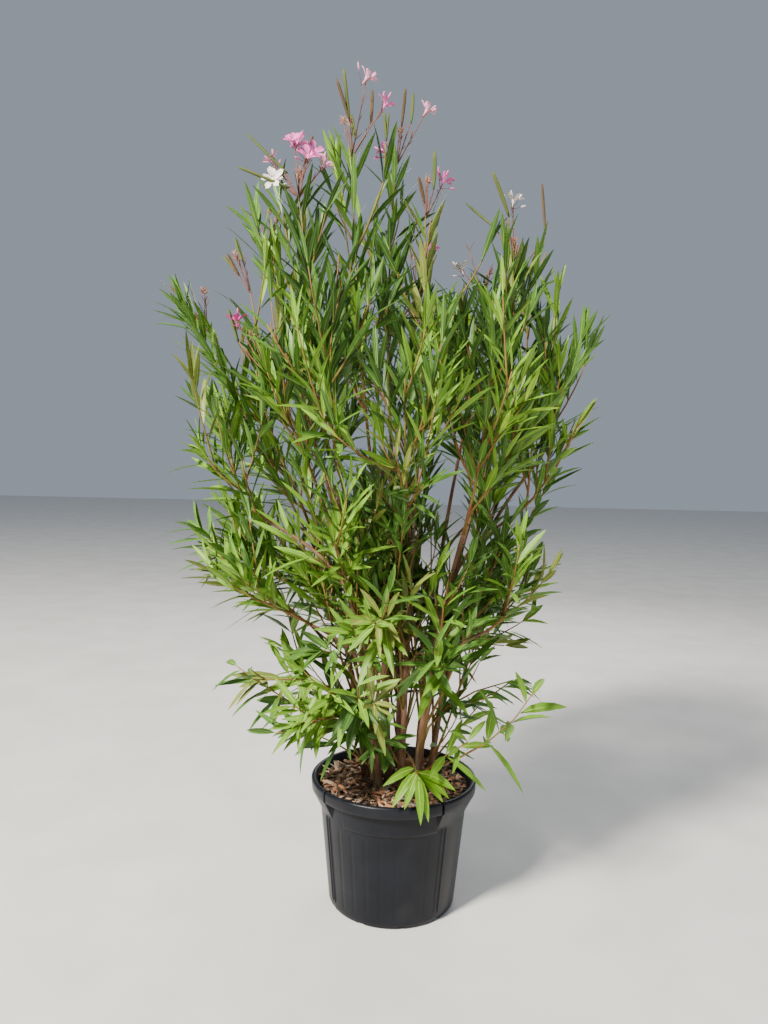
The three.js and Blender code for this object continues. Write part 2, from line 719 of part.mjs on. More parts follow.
const plant = new THREE.Group();
function show(name, made, look) {
  const geometry = geometryOf(made);
  geometry.computeVertexNormals();
  const mesh = new THREE.Mesh(geometry, new THREE.MeshStandardMaterial(COLOURS[look]));
  mesh.name = name;
  plant.add(mesh);
}

show("pot", pot(), "pot");
show("soil", soil(), "soil");
const framework = limbs();
for (const [name, limb] of Object.entries(framework)) {
  const made = limb.parent ? largest(limb.solid().subtract(limb.parent.solid(GAP))) : limb.solid();
  show(name, made, "bark");
}
for (const [name, made] of foliage(framework)) show("foliage_" + name, made, "leaf");

export default plant;
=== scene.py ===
"""A potted oleander: pot, mulch, canes, leaves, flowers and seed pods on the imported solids.

The growth rule works in millimetres, as the solids do, and a mesh is in metres. The middle of the
pot's underside is the origin, +Z is up and the front faces -Y. Angles are degrees from +X.
"""

import logging
import math
from dataclasses import Field, dataclass, field
from enum import Enum

import bpy
import numpy as np
from mathutils import Matrix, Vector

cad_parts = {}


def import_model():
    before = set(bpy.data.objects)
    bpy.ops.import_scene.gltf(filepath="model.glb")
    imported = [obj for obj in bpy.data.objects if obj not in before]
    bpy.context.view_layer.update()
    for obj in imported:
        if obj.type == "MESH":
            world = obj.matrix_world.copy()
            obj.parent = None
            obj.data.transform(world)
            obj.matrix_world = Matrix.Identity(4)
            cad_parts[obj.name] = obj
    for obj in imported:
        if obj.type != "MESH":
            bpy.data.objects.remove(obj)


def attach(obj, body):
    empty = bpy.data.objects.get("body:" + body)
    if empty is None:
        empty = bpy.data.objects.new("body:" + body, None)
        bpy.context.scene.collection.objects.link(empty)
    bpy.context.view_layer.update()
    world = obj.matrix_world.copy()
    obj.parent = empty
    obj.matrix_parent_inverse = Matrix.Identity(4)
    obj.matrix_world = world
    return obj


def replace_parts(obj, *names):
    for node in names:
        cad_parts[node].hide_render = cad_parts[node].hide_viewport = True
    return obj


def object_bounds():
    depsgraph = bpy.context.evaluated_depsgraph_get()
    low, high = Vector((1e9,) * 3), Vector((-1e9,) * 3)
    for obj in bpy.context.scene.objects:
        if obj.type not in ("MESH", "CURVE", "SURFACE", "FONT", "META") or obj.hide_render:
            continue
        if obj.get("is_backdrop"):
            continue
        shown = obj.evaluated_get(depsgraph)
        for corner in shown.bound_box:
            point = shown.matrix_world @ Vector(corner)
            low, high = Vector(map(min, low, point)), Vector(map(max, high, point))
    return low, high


LOG = logging.getLogger("oleander")
MM = 0.001
UP = np.array([0.0, 0.0, 1.0])
FRONT = np.array([0.0, -1.0, 0.0])
Array = np.ndarray
Colour = tuple[float, float, float]

# The least divisor, and what keeps a cross product from vanishing
TINY, NUDGE = 1e-9, 1e-6


def numbers_from(seed: int) -> Field:
    """A field that holds a repeatable run of random numbers of its own."""
    return field(default_factory=lambda: np.random.default_rng(seed))


# Sizes that the solids share


@dataclass(frozen=True)
class PotSizes:
    """Radii, heights and angles of the pot, in millimetres and degrees."""

    base_radius: float = 190
    corner: float = 9
    shoulder_radius: float = 225
    lip_bottom: float = 344
    lip_radius: float = 248
    lip_swell: float = 2
    lip_round: float = 8
    height: float = 378
    wall: float = 3.5
    floor: float = 5
    front_middle: float = 260
    front_half: float = 43.5
    grip_depth: float = 54
    band_middle: float = 266.5
    band_half: float = 37
    band_bottom: float = 281
    band_raised: float = 3
    rib_angles: tuple[float, ...] = (-41, -37, 37, 41)
    rib_bottom: float = 24
    rib_top: float = 292
    rib_width: float = 5
    rib_raised: float = 3
    drain_count: int = 10
    soil_top: float = 352

    def wall_at(self, z: Array | float) -> Array | float:
        """The wall's outer radius at a height: a straight taper from base to shoulder."""
        return self.base_radius + (self.shoulder_radius - self.base_radius) * z / self.lip_bottom


POT = PotSizes()
SOIL_GAP = 0.3
FRONT_AND_BACK = (0, 180)

# Waves of the mulch: length and height
MULCH_WAVES = ((170, 2.6), (90, 2.0), (48, 1.6), (27, 1.3), (16, 1.0), (10, 0.7))

# Stems: the radius at the top, where the bend lies across and up, and the flare of the foot
TOP_RADIUS = 5.5
STEM_BEND_ACROSS, STEM_BEND_UP = 0.25, 0.55
FLARE, FLARE_HEIGHT = 0.4, 90

# Boughs, leaders and shoots: radii at both ends, and the share that they set out straight for
BOUGH_RADIUS, BOUGH_TIP_RADIUS, BOUGH_BEND = 6.5, 4.8, 0.4
SHOOT_RADIUS, SHOOT_TIP_RADIUS, LEADER_BEND, SHOOT_BEND = 5, 3.2, 0.45, 0.5

# Turns in degrees: from mass to mass, from shoot to shoot, and the play in them
MASS_TURN, GOLDEN_TURN, TURN_PLAY = 47, 137.5, 40

# Side shoots: where the first one stands, the stretch they share, and their angle with its play
SIDE_FOOT, SIDE_SPAN = 0.08, 0.66
SIDE_ANGLE, SIDE_ANGLE_PLAY = 34, 14

# How far out and up a shoot's tip lies for its reach, and the shares of the reach that are tried
SHOOT_OUT, SHOOT_UP = 0.92, 0.24
SHOOT_SHARES = (1, 0.75, 0.55, 0.4)

# The solids' leaves, and the swing and sunk foot of their heads' stalks
LEAF_LENGTH, LEAF_SPACING = 200, 180
STALK_SWING, STALK_SUNK = 40, 5

# Room round a mass's cell, the pot's lip, the solids' box, and a flower with the view of it
CELL_MARGIN, RIM_CLEARANCE, LEAF_SPARE = 6, 14, 38
FLOWER_ROOM, FLOWER_SIGHT = 24, 300

# How far out the shade among the canes reaches, and from what height to what height
SHADE_REACH, SHADE_FOOT, SHADE_TOP = 240, 620, 1100

# Places along a riser that are looked at for gaps
RISER_CHECKS = np.array([0.4, 0.6, 0.8, 1.0])

# Stems: foot and top as angle and distance from the axis, foot radius, top height
STEMS = {
    "stem_left_front": ((222, 62), 12, (219, 290, 1230)),
    "stem_front": ((299, 46), 12, (297, 101, 1300)),
    "stem_right": ((350, 71), 13, (358, 255, 1300)),
    "stem_middle_left": ((146, 22), 14, (192, 97, 1370)),
    "stem_middle_back": ((66, 60), 13, (117, 67, 1390)),
    "stem_left": ((156, 94), 12, (177, 270, 1130)),
    "stem_left_high": ((182, 60), 11, (198, 199, 1350)),
    "stem_back_left": ((120, 101), 11, (151, 280, 1300)),
    "stem_back_right": ((51, 119), 12, (38, 236, 1340)),
    "stem_right_outer": ((17, 117), 11, (12, 325, 1250)),
    "stem_back": ((83, 103), 11, (84, 250, 1260)),
    "stem_front_right": ((318, 84), 10, (307, 280, 1130)),
}

# Boughs: the stem each leaves, how far up it, and its tip as angle, distance and height
BOUGHS = {
    "bough_left": ("stem_left_front", 0.62, (200, 400, 1150)),
    "bough_right": ("stem_right", 0.62, (346, 345, 1180)),
    "bough_right_high": ("stem_right_outer", 0.74, (1, 415, 1340)),
    "bough_front_left_low": ("stem_left_front", 0.36, (213, 290, 860)),
    "bough_front_right_low": ("stem_front_right", 0.42, (330, 290, 850)),
    "bough_front": ("stem_front", 0.6, (274, 250, 1180)),
    "bough_front_left": ("stem_front", 0.78, (244, 265, 1340)),
    "bough_back_left": ("stem_back_left", 0.6, (136, 350, 1110)),
    "bough_back_right": ("stem_back_right", 0.6, (47, 345, 1130)),
    "bough_left_high": ("stem_left_high", 0.72, (190, 300, 1400)),
}

# Masses of foliage: the limb each grows from and where on it, the leader's tip, the number of side
# shoots and their reach
MASSES = {
    "top_left": ("stem_middle_left", 1, (197, 169, 2200), 5, 320),
    "top_right": ("stem_middle_back", 1, (113, 87, 2225), 5, 310),
    "top_front": ("stem_front", 1, (312, 80, 2030), 4, 280),
    "left_crest": ("stem_left_high", 1, (201, 325, 2060), 4, 270),
    "left_back_crest": ("stem_back_left", 1, (165, 430, 1990), 4, 260),
    "left_front": ("stem_left_front", 1, (212, 440, 1555), 3, 220),
    "left_wing": ("stem_left", 1, (178, 590, 1720), 4, 230),
    "right_crest": ("stem_right", 1, (351, 318, 1890), 4, 260),
    "right_back_crest": ("stem_back_right", 1, (37, 325, 1870), 4, 260),
    "right_outer": ("stem_right_outer", 1, (19, 385, 1930), 4, 230),
    "back_crest": ("stem_back", 1, (82, 330, 1930), 4, 270),
    "front_right": ("stem_front_right", 1, (303, 400, 1590), 4, 230),
    "left_side": ("bough_left", 1, (195, 500, 1340), 3, 180),
    "right_side": ("bough_right", 1, (344, 440, 1420), 3, 190),
    "right_wing": ("bough_right_high", 1, (358, 430, 1650), 3, 190),
    "front_left_low": ("bough_front_left_low", 1, (208, 445, 1000), 3, 180),
    "front_right_low": ("bough_front_right_low", 1, (338, 335, 1000), 4, 180),
    "front": ("bough_front", 1, (270, 390, 1440), 4, 210),
    "front_left": ("bough_front_left", 1, (242, 390, 1680), 4, 210),
    "back_left": ("bough_back_left", 1, (133, 470, 1520), 4, 230),
    "back_right": ("bough_back_right", 1, (46, 450, 1550), 4, 230),
    "left_high": ("bough_left_high", 1, (192, 450, 1800), 3, 200),
    "left_low": ("stem_left", 0.55, (170, 520, 1040), 4, 220),
    "front_low": ("stem_left_front", 0.42, (243, 300, 1110), 4, 190),
    "back_low": ("stem_back", 0.5, (100, 380, 1090), 4, 220),
    "skirt_left": ("stem_left", 0.18, (203, 350, 700), 4, 150),
    "skirt_front_left": ("stem_left_front", 0.14, (226, 270, 610), 3, 130),
    "skirt_right": ("stem_right", 0.1, (350, 350, 690), 4, 150),
    "skirt_right_back": ("stem_back_right", 0.3, (14, 350, 760), 4, 170),
    "front_sprig": ("stem_front_right", 0.28, (294, 300, 770), 4, 170),
    "left_sprig": ("stem_left_front", 0.2, (248, 260, 680), 4, 150),
    "middle_sprig": ("stem_front", 0.36, (264, 255, 900), 4, 180),
    "rim_sprig": ("stem_front", 0.07, (284, 205, 440), 0, 0),
    "skirt_back_left": ("stem_back_left", 0.3, (128, 350, 790), 3, 180),
    "skirt_back": ("stem_back", 0.16, (78, 330, 700), 3, 170),
}

# Twigs that stand apart: the limb each leaves and where on it, its bend and tip as angle, distance
# and height, the share of it that is bare, and the size of its leaves
SPRIGS = {
    "low_right": ("stem_front_right", 0.06, (319, 382, 545), (320, 471, 728), 0.5, 1.08),
    "rim_right": ("stem_front_right", 0.04, (312, 190, 480), (311, 300, 560), 0.6, 0.9),
    "low_left": ("stem_left_front", 0.12, (207, 330, 620), (205, 489, 751), 0.55, 1),
    "rim_left": ("stem_left_front", 0.05, (214, 200, 520), (209, 318, 560), 0.5, 0.9),
    "wing_left": ("stem_left", 0.8, (180, 480, 1500), (187, 630, 1735), 0.2, 1),
    "side_left": ("stem_left", 0.45, (186, 340, 900), (191, 585, 1120), 0.3, 1),
    "gap_left": ("stem_left", 0.7, (185, 400, 1130), (189, 585, 1340), 0.4, 1),
    "gap_right": ("stem_right_outer", 0.6, (0, 350, 1060), (355, 440, 1280), 0.4, 1),
    "back_left": ("stem_left", 0.05, (150, 220, 500), (146, 330, 590), 0.5, 0.95),
    "back_right": ("stem_right_outer", 0.05, (20, 220, 500), (24, 340, 600), 0.5, 0.95),
    "hanging_front": ("stem_front", 0.3, (285, 190, 860), (288, 262, 775), 0.4, 1.05),
    "hanging_left": ("stem_left_front", 0.22, (230, 215, 800), (224, 290, 800), 0.4, 1),
    "foot_front": ("stem_front", 0.05, (262, 130, 500), (258, 180, 590), 0.4, 0.72),
    "foot_left": ("stem_middle_left", 0.06, (215, 110, 510), (222, 165, 610), 0.4, 0.75),
    "foot_right": ("stem_right", 0.05, (340, 165, 500), (336, 205, 600), 0.4, 0.75),
    "foot_back": ("stem_back", 0.05, (70, 150, 500), (62, 190, 620), 0.4, 0.8),
    "soil_left": ("stem_left_front", 0.06, (232, 150, 610), (233, 225, 575), 0.35, 0.85),
    "soil_front": ("stem_middle_left", 0.08, (248, 140, 560), (250, 190, 520), 0.4, 0.7),
    "crest_left": ("stem_left_high", 0.9, (185, 400, 1850), (180, 452, 2060), 0.3, 1),
    "crest_middle": ("stem_left_high", 0.95, (188, 330, 1880), (180, 375, 2090), 0.3, 1),
    "wing_right": ("bough_right_high", 0.8, (350, 450, 1480), (347, 512, 1680), 0.3, 1),
    "top_side": ("stem_middle_left", 0.95, (190, 170, 2000), (181, 212, 2195), 0.3, 1),
}

# The camera's place, from which the gaps between the plumes and the canes are seen. Of each gap:
# the place across and the height at which the line of sight passes the plant's middle plane, and
# the gap's radius
VIEWPOINT = np.array([-47.0, -2304.0, 1293.0])
GAPS = np.array(
    [
        *((160, 1975, 62), (125, 1890, 38), (200, 2025, 50), (190, 2125, 58), (232, 1920, 34)),
        *((-517, 1895, 50), (-457, 1824, 38), (-403, 1761, 30), (-569, 1769, 30)),
        *((-527, 1700, 34), (-508, 1641, 26), (0, 2282, 36), (51, 2082, 30), (-114, 2121, 24)),
        *((-179, 1967, 24), (364, 2039, 34), (369, 1701, 24), (560, 1600, 34), (506, 1498, 30)),
        *((167, 1026, 26), (85, 1055, 20), (136, 950, 20), (43, 777, 22), (-127, 666, 20)),
        *((-246, 691, 24), (182, 673, 22), (255, 690, 24), (60, 606, 22), (302, 685, 42)),
        *((394, 727, 40), (-439, 763, 28), (-402, 709, 42)),
    ],
    float,
)

# Masses whose broad leaves spread and hang in front of the canes
BROAD = ("front_sprig", "left_sprig", "middle_sprig")

# Where the leaves of a mass's shoots start, their size, spread, droop and breadth
PLAIN_LEAVES = (0.3, 1.0, 0.0, 0.0, 1.0)
BROAD_LEAVES = (0.4, 0.95, 2, 0.12, 1.25)

# The crown: its depth for its width, and its reach at each height as height, left, right
CROWN_DEPTH = 0.87
CROWN = np.array(
    [
        *((260, 330, 400), (500, 450, 520), (640, 560, 540), (820, 520, 440), (1000, 680, 480)),
        *((1200, 690, 470), (1400, 640, 560), (1720, 715, 590), (1860, 690, 510)),
        *((1950, 520, 460), (2100, 510, 400), (2200, 400, 230), (2340, 150, 100)),
    ],
    float,
)


class Petal(Enum):
    """The colour of an open flower, with the colour of its buds' shaded side."""

    WHITE = ((0.86, 0.80, 0.76), (0.80, 0.60, 0.62))
    BLUSH = ((0.86, 0.38, 0.56), (0.76, 0.24, 0.42))
    PINK = ((0.76, 0.17, 0.47), (0.60, 0.08, 0.32))
    MAGENTA = ((0.60, 0.06, 0.28), (0.42, 0.03, 0.17))


@dataclass(frozen=True)
class Stalk:
    """A stalk of a head: its lean to the right and length, with pods or an open flower.

    A flower leans to the right too, and faces the front by a share.
    """

    lean: float
    length: float
    pods: tuple[tuple[float, float], ...] = ()
    flower: float | None = None
    petal: Petal = Petal.BLUSH
    front: float = 0.1


HEADS = {
    "top_left": (
        Stalk(-4, 95, ((-21, 113), (-8, 133))),
        Stalk(8, 62, ((-10, 94),)),
        Stalk(10, 222, (), 40, Petal.BLUSH),
        Stalk(27, 118, ((1, 109),)),
        Stalk(33, 170, (), 30, Petal.PINK),
    ),
    "top_right": (
        Stalk(-20, 88, ((-6, 80), (4, 80))),
        Stalk(8, 116, ((5, 100),)),
        Stalk(18, 142, ((3, 92),)),
        Stalk(27, 200, (), 35, Petal.BLUSH),
        Stalk(-38, 60, (), -60, Petal.PINK),
    ),
    "top_front": (
        Stalk(14, 90, ((0, 105),)),
        Stalk(24, 130, (), 25, Petal.PINK),
        Stalk(-4, 50, ((-12, 90),)),
    ),
    "left_crest": (
        Stalk(-27, 86, ((-46, 165),)),
        Stalk(-48, 40, ((-70, 152),)),
        Stalk(8, 92, ((16, 84),)),
        Stalk(-8, 180, (), -10, Petal.PINK, 1.1),
        Stalk(-52, 90, (), -20, Petal.WHITE, 2.2),
        Stalk(14, 112, (), 20, Petal.PINK, 1.3),
        Stalk(34, 118, (), 40, Petal.BLUSH, 0.7),
        Stalk(-36, 150, (), -35, Petal.BLUSH, 0.6),
    ),
    "left_back_crest": (Stalk(-30, 110), Stalk(10, 70, ((14, 60),))),
    "left_high": (
        Stalk(-16, 100, ((-20, 80),)),
        Stalk(-35, 70, ((-40, 80), (-30, 75))),
    ),
    "left_front": (
        Stalk(-30, 160, (), -5, Petal.MAGENTA),
        Stalk(-42, 120, ((-18, 90),)),
    ),
    "left_wing": (Stalk(-45, 20, ((-43, 148),)),),
    "right_crest": (
        Stalk(-20, 145, ((-44, 140),)),
        Stalk(-10, 150, ((-25, 130),)),
        Stalk(-2, 200, (), 10, Petal.WHITE),
    ),
    "right_outer": (Stalk(30, 152, ((-4, 165),)), Stalk(-14, 160)),
    "right_back_crest": (Stalk(-38, 120, (), -20, Petal.WHITE), Stalk(-18, 165)),
    "back_crest": (Stalk(-10, 110, ((-14, 120),)), Stalk(20, 140, (), 20, Petal.PINK)),
    "back_left": (Stalk(-20, 100, ((-25, 120), (-10, 110))),),
    "back_right": (Stalk(15, 110, (), 20, Petal.BLUSH),),
}


# Curves and directions


class Draws:
    """A repeatable run of numbers from 0 to 1, the one that the solids are grown with."""

    def __init__(self, seed: int) -> None:
        """Starts the run from a whole number."""
        self.state = seed

    def next(self) -> float:
        """The next number: the state times 1664525 plus 1013904223, modulo 2 to the 32nd."""
        self.state = (self.state * 1664525 + 1013904223) % 4294967296
        return self.state / 4294967296


def polar(place: tuple[float, float, float]) -> Array:
    """The point at an angle in degrees, a distance from the axis and a height."""
    angle, distance, height = place
    turn = math.radians(angle)
    return np.array([distance * math.cos(turn), distance * math.sin(turn), height])


def unit(vectors: Array) -> Array:
    """Vectors over their own lengths."""
    return vectors / np.maximum(np.linalg.norm(vectors, axis=-1, keepdims=True), TINY)


def curve_at(control: Array, t: Array | float) -> Array:
    """Points of quadratic curves: (1-t)^2 start + 2t(1-t) bend + t^2 end.

    Args:
        control: Start, bend and end, with shape (..., 3, 3).
        t: Shares of the way along, of any shape that fits the curves.

    Returns:
        The points, with one more axis of 3 than t.
    """
    t = np.asarray(t, float)[..., None]
    start, bend, end = control[..., 0, :], control[..., 1, :], control[..., 2, :]
    return (1 - t) ** 2 * start + 2 * t * (1 - t) * bend + t**2 * end


def heading_at(control: Array, t: Array | float) -> Array:
    """Unit tangents of quadratic curves: (1-t)(bend - start) + t(end - bend), over its length.

    Args:
        control: Start, bend and end, with shape (..., 3, 3).
        t: Shares of the way along, of any shape that fits the curves.

    Returns:
        The directions, with one more axis of 3 than t.
    """
    t = np.asarray(t, float)[..., None]
    start, bend, end = control[..., 0, :], control[..., 1, :], control[..., 2, :]
    return unit((1 - t) * (bend - start) + t * (end - bend))


def lean(axis: Array, angle: Array | float, turn: Array | float) -> Array:
    """Directions away from an axis: axis cos(angle) + aside sin(angle).

    Aside is across cos(turn) + over sin(turn), where across is level and over is square to both.

    Args:
        axis: Unit directions, with shape (..., 3).
        angle: Angles away from them, in radians.
        turn: Turns round them, in radians.

    Returns:
        Unit directions.
    """
    angle, turn = np.asarray(angle)[..., None], np.asarray(turn)[..., None]
    across = unit(np.cross(axis, UP))
    over = np.cross(axis, across)
    aside = across * np.cos(turn) + over * np.sin(turn)
    return unit(axis * np.cos(angle) + aside * np.sin(angle))


def arc(start: Array, heading: Array, tip: Array, share: float) -> Array:
    """A curve that sets out along a heading for a share of its length and ends at a tip."""
    bend = start + heading * share * np.linalg.norm(tip - start)
    return np.array([start, bend, tip])


def rising(start: Array, heading: Array, share: float, reach: float) -> Array:
    """A shoot's curve, which ends at start + share reach (0.92 heading + 0.24 up)."""
    tip = start + heading * SHOOT_OUT * share * reach + UP * SHOOT_UP * share * reach
    return arc(start, heading, tip, SHOOT_BEND)


def golden_turn(index: int, order: int, more: float = 0) -> float:
    """The turn in radians of a mass's or limb's shoot of an order, with more degrees on top."""
    return math.radians(MASS_TURN * index + GOLDEN_TURN * order + more)


def step(values: Array, start: float, end: float) -> Array:
    """A smooth step from 0 at start to 1 at end."""
    share = np.clip((values - start) / (end - start), 0, 1)
    return share * share * (3 - 2 * share)


def line_distance(p: Array, q: Array, r: Array, s: Array) -> Array:
    """Least distances between lines p-q and r-s, the nearest points held to both lines.

    The shares along both lines at which they are nearest solve two linear equations. Each is
    held between 0 and 1, and the first is worked out once more from the second.

    Args:
        p: Starts of the first lines, with shape (..., 3).
        q: Ends of the first lines.
        r: Starts of the second lines.
        s: Ends of the second lines.

    Returns:
        The distances, without the last axis.
    """
    u, v, w = q - p, s - r, p - r
    a, b, c = (u * u).sum(-1), (u * v).sum(-1), (v * v).sum(-1)
    d, e = (u * w).sum(-1), (v * w).sum(-1)
    det = a * c - b * b
    first = np.where(det > TINY, np.clip((b * e - c * d) / np.maximum(det, TINY), 0, 1), 0)
    second = np.clip((b * first + e) / c, 0, 1)
    first = np.where(a > TINY, np.clip((b * second - d) / np.maximum(a, TINY), 0, 1), 0)
    return np.linalg.norm(w + u * first[..., None] - v * second[..., None], axis=-1)


@dataclass
class Limb:
    """A stem, bough or shoot: a quadratic curve with a radius at each end."""

    control: Array
    start_radius: float
    end_radius: float
    steps: int
    flare: float = 0
    points: Array = field(init=False)
    radii: Array = field(init=False)
    length: float = field(init=False)

    def __post_init__(self) -> None:
        """Works out the length, and the points and radii of the solid's own steps."""
        fine = curve_at(self.control, np.linspace(0, 1, 201))
        self.length = float(np.linalg.norm(np.diff(fine, axis=0), axis=1).sum())
        share = np.linspace(0, 1, self.steps + 1)
        self.points = curve_at(self.control, share)
        self.radii = self.radius_at(share)

    def radius_at(self, t: Array) -> Array:
        """A straight taper, with a flare that grows as the square of the nearness to the foot."""
        foot = np.maximum(0, 1 - t * self.length / FLARE_HEIGHT)
        return self.start_radius + (self.end_radius - self.start_radius) * t + self.flare * foot**2


def in_crown(points: Array, slack: float = 1.0, rim: float = RIM_CLEARANCE) -> Array:
    """Whether points lie inside the crown's outline and clear of the pot.

    The outline at a height is half an ellipse to the left and half to the right.

    Args:
        points: Points in millimetres, with shape (..., 3).
        slack: How much larger than the outline the reach may be.
        rim: The least distance from the pot's lip.

    Returns:
        True or False for each point.
    """
    x, y, z = points[..., 0], points[..., 1], points[..., 2]
    left = np.interp(z, CROWN[:, 0], CROWN[:, 1])
    right = np.interp(z, CROWN[:, 0], CROWN[:, 2])
    deep = CROWN_DEPTH * (left + right) / 2
    inside = np.hypot(x / np.where(x < 0, left, right), y / deep) < slack
    level = (z >= CROWN[0, 0]) & (z < CROWN[-1, 0])
    by_pot = (z < POT.height + rim) & (np.hypot(x, y) < POT.lip_radius + POT.lip_swell + rim)
    return inside & level & ~by_pot


# Growth by the solids' own rule


@dataclass
class Mass:
    """A mass of foliage: its leader and side shoots, and the path that its cell is drawn round."""

    name: str
    index: int
    sides: int
    reach: float
    shoots: list[Limb]
    path: Array


class Growth:
    """The limbs and masses, grown by the rule that the solids are grown by."""

    def __init__(self) -> None:
        """Grows stems, boughs, leaders and side shoots, in that order."""
        self.limbs: dict[str, Limb] = {}
        self.grow_limbs()
        self.masses = [self.leader(i, name) for i, name in enumerate(MASSES)]
        self.path_starts = np.array([mass.path[:-1] for mass in self.masses])
        self.path_ends = np.array([mass.path[1:] for mass in self.masses])
        every = self.limbs.values()
        self.limb_starts = np.concatenate([limb.points[:-1] for limb in every])
        self.limb_ends = np.concatenate([limb.points[1:] for limb in every])
        self.limb_radii = np.concatenate([limb.radii[:-1] for limb in every])
        for mass in self.masses:
            self.side_shoots(mass)

    def grow_limbs(self) -> None:
        """Stems that bend outwards over their upper half, and boughs that leave them."""
        for name, (foot, radius, top) in STEMS.items():
            start, tip = polar((*foot, POT.soil_top + SOIL_GAP)), polar(top)
            bend = start + STEM_BEND_ACROSS * (tip - start)
            bend[2] = start[2] + STEM_BEND_UP * (tip[2] - start[2])
            control = np.array([start, bend, tip])
            self.limbs[name] = Limb(control, radius, TOP_RADIUS, 5, FLARE * radius)
        for name, (on, at, tip) in BOUGHS.items():
            stem = self.limbs[on].control
            control = arc(curve_at(stem, at), heading_at(stem, at), polar(tip), BOUGH_BEND)
            self.limbs[name] = Limb(control, BOUGH_RADIUS, BOUGH_TIP_RADIUS, 4)

    def leader(self, index: int, name: str) -> Mass:
        """The leading shoot of a mass, from the tip or the side of its limb.

        Args:
            index: The mass's number.
            name: Its name.

        Returns:
            The mass with its leader alone.
        """
        on, at, tip, sides, reach = MASSES[name]
        limb = self.limbs[on].control
        control = arc(curve_at(limb, at), heading_at(limb, at), polar(tip), LEADER_BEND)
        shoot = Limb(control, SHOOT_RADIUS, SHOOT_TIP_RADIUS, 5)
        path = curve_at(control, np.linspace(0, 1, 11))
        return Mass(name, index, sides, reach, [shoot], path)

    def in_cell(self, mass: Mass, samples: Array) -> bool:
        """Whether points are nearer the mass's own leader than any other, and in the crown.

        Args:
            mass: The mass.
            samples: Points along a shoot, with shape (points, 3).

        Returns:
            True if all of them are.
        """
        if not in_crown(samples).all():
            return False
        point = samples[:, None, None, :]
        away = line_distance(point, point, self.path_starts, self.path_ends).min(-1)
        own = away[:, mass.index] + CELL_MARGIN
        others = np.delete(away, mass.index, axis=1)
        return bool((others > own[:, None]).all())

    def clear_of_limbs(self, start: Array, end: Array, spare: float) -> Array:
        """Whether straight lines keep clear of every stem and bough by more than a distance."""
        between = line_distance(
            start[..., None, :], end[..., None, :], self.limb_starts, self.limb_ends
        )
        return (between - self.limb_radii > spare).all(-1)

    def side_shoots(self, mass: Mass) -> None:
        """Adds side shoots, each a golden turn on from the last, that bend upwards.

        Args:
            mass: The mass whose leader they stand on.
        """
        draws = Draws(mass.index + 1)
        leader = mass.shoots[0].control
        for i in range(mass.sides):
            t = SIDE_FOOT + (SIDE_SPAN * (i + 0.3 + 0.4 * draws.next())) / mass.sides
            turn = golden_turn(mass.index, i, TURN_PLAY * draws.next())
            angle = math.radians(SIDE_ANGLE + SIDE_ANGLE_PLAY * draws.next())
            reach = mass.reach * (0.8 + 0.4 * draws.next()) * (1 - 0.3 * t)
            start = curve_at(leader, t)
            heading = lean(heading_at(leader, t), angle, turn)
            for share in SHOOT_SHARES:
                control = rising(start, heading, share, reach)
                side = Limb(control, 0.8 * SHOOT_RADIUS, SHOOT_TIP_RADIUS, 2)
                ahead = control[2] + heading_at(control, 1.0) * 0.6 * LEAF_LENGTH
                samples = np.vstack([side.points[1:], ahead])
                clear = self.clear_of_limbs(start, control[2], side.start_radius + 3)
                if self.in_cell(mass, samples) and clear:
                    mass.shoots.append(side)
                    break

    def head_draws(self, mass: Mass) -> Draws:
        """The mass's run of numbers, moved on past the three draws of each leaf of its solid.

        Args:
            mass: The mass that carries the head.

        Returns:
            The run, ready for the head's first stalk.
        """
        draws = Draws(1000 + mass.index)
        for shoot in mass.shoots:
            first = 0.3 if shoot is not mass.shoots[0] else 0.1 if mass.sides else 0.5
            whorls = max(2, math.floor((1 - first) * shoot.length / LEAF_SPACING + 0.5))
            for _ in range(9 * whorls):
                draws.next()
        return draws


# Meshes from arrays


def make_piece(
    name: str, look: bpy.types.Material, slot: str, *shapes: tuple[Array, Array]
) -> bpy.types.Object:
    """Joins copies of shapes into one smooth piece in metres that rides on the plant's one body.

    Args:
        name: The piece's name.
        look: Its material.
        slot: The record's material slot, which is not used.
        shapes: Vertices (copies, n, 3) in millimetres and one copy's triangles, for each shape.

    Returns:
        The new object.
    """
    count, joined = 0, []
    for vertices, triangles in shapes:
        copies, each, _ = vertices.shape
        offsets = count + each * np.arange(copies)
        joined.append((offsets[:, None, None] + triangles).reshape(-1, 3))
        count += copies * each
    faces = np.concatenate(joined)
    vertices = np.concatenate([vertices.reshape(-1, 3) for vertices, _ in shapes]) * MM
    mesh = bpy.data.meshes.new(name)
    mesh.vertices.add(len(vertices))
    mesh.vertices.foreach_set("co", vertices.astype(np.float32).ravel())
    mesh.loops.add(3 * len(faces))
    mesh.loops.foreach_set("vertex_index", faces.astype(np.int32).ravel())
    mesh.polygons.add(len(faces))
    mesh.polygons.foreach_set("loop_start", np.arange(0, 3 * len(faces), 3, dtype=np.int32))
    mesh.update(calc_edges=True)
    mesh.shade_smooth()
    mesh.materials.append(look)
    made = bpy.data.objects.new(name, mesh)
    bpy.context.scene.collection.objects.link(made)
    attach(made, "root")
    LOG.info("%s: %d triangles", name, len(faces))
    return made


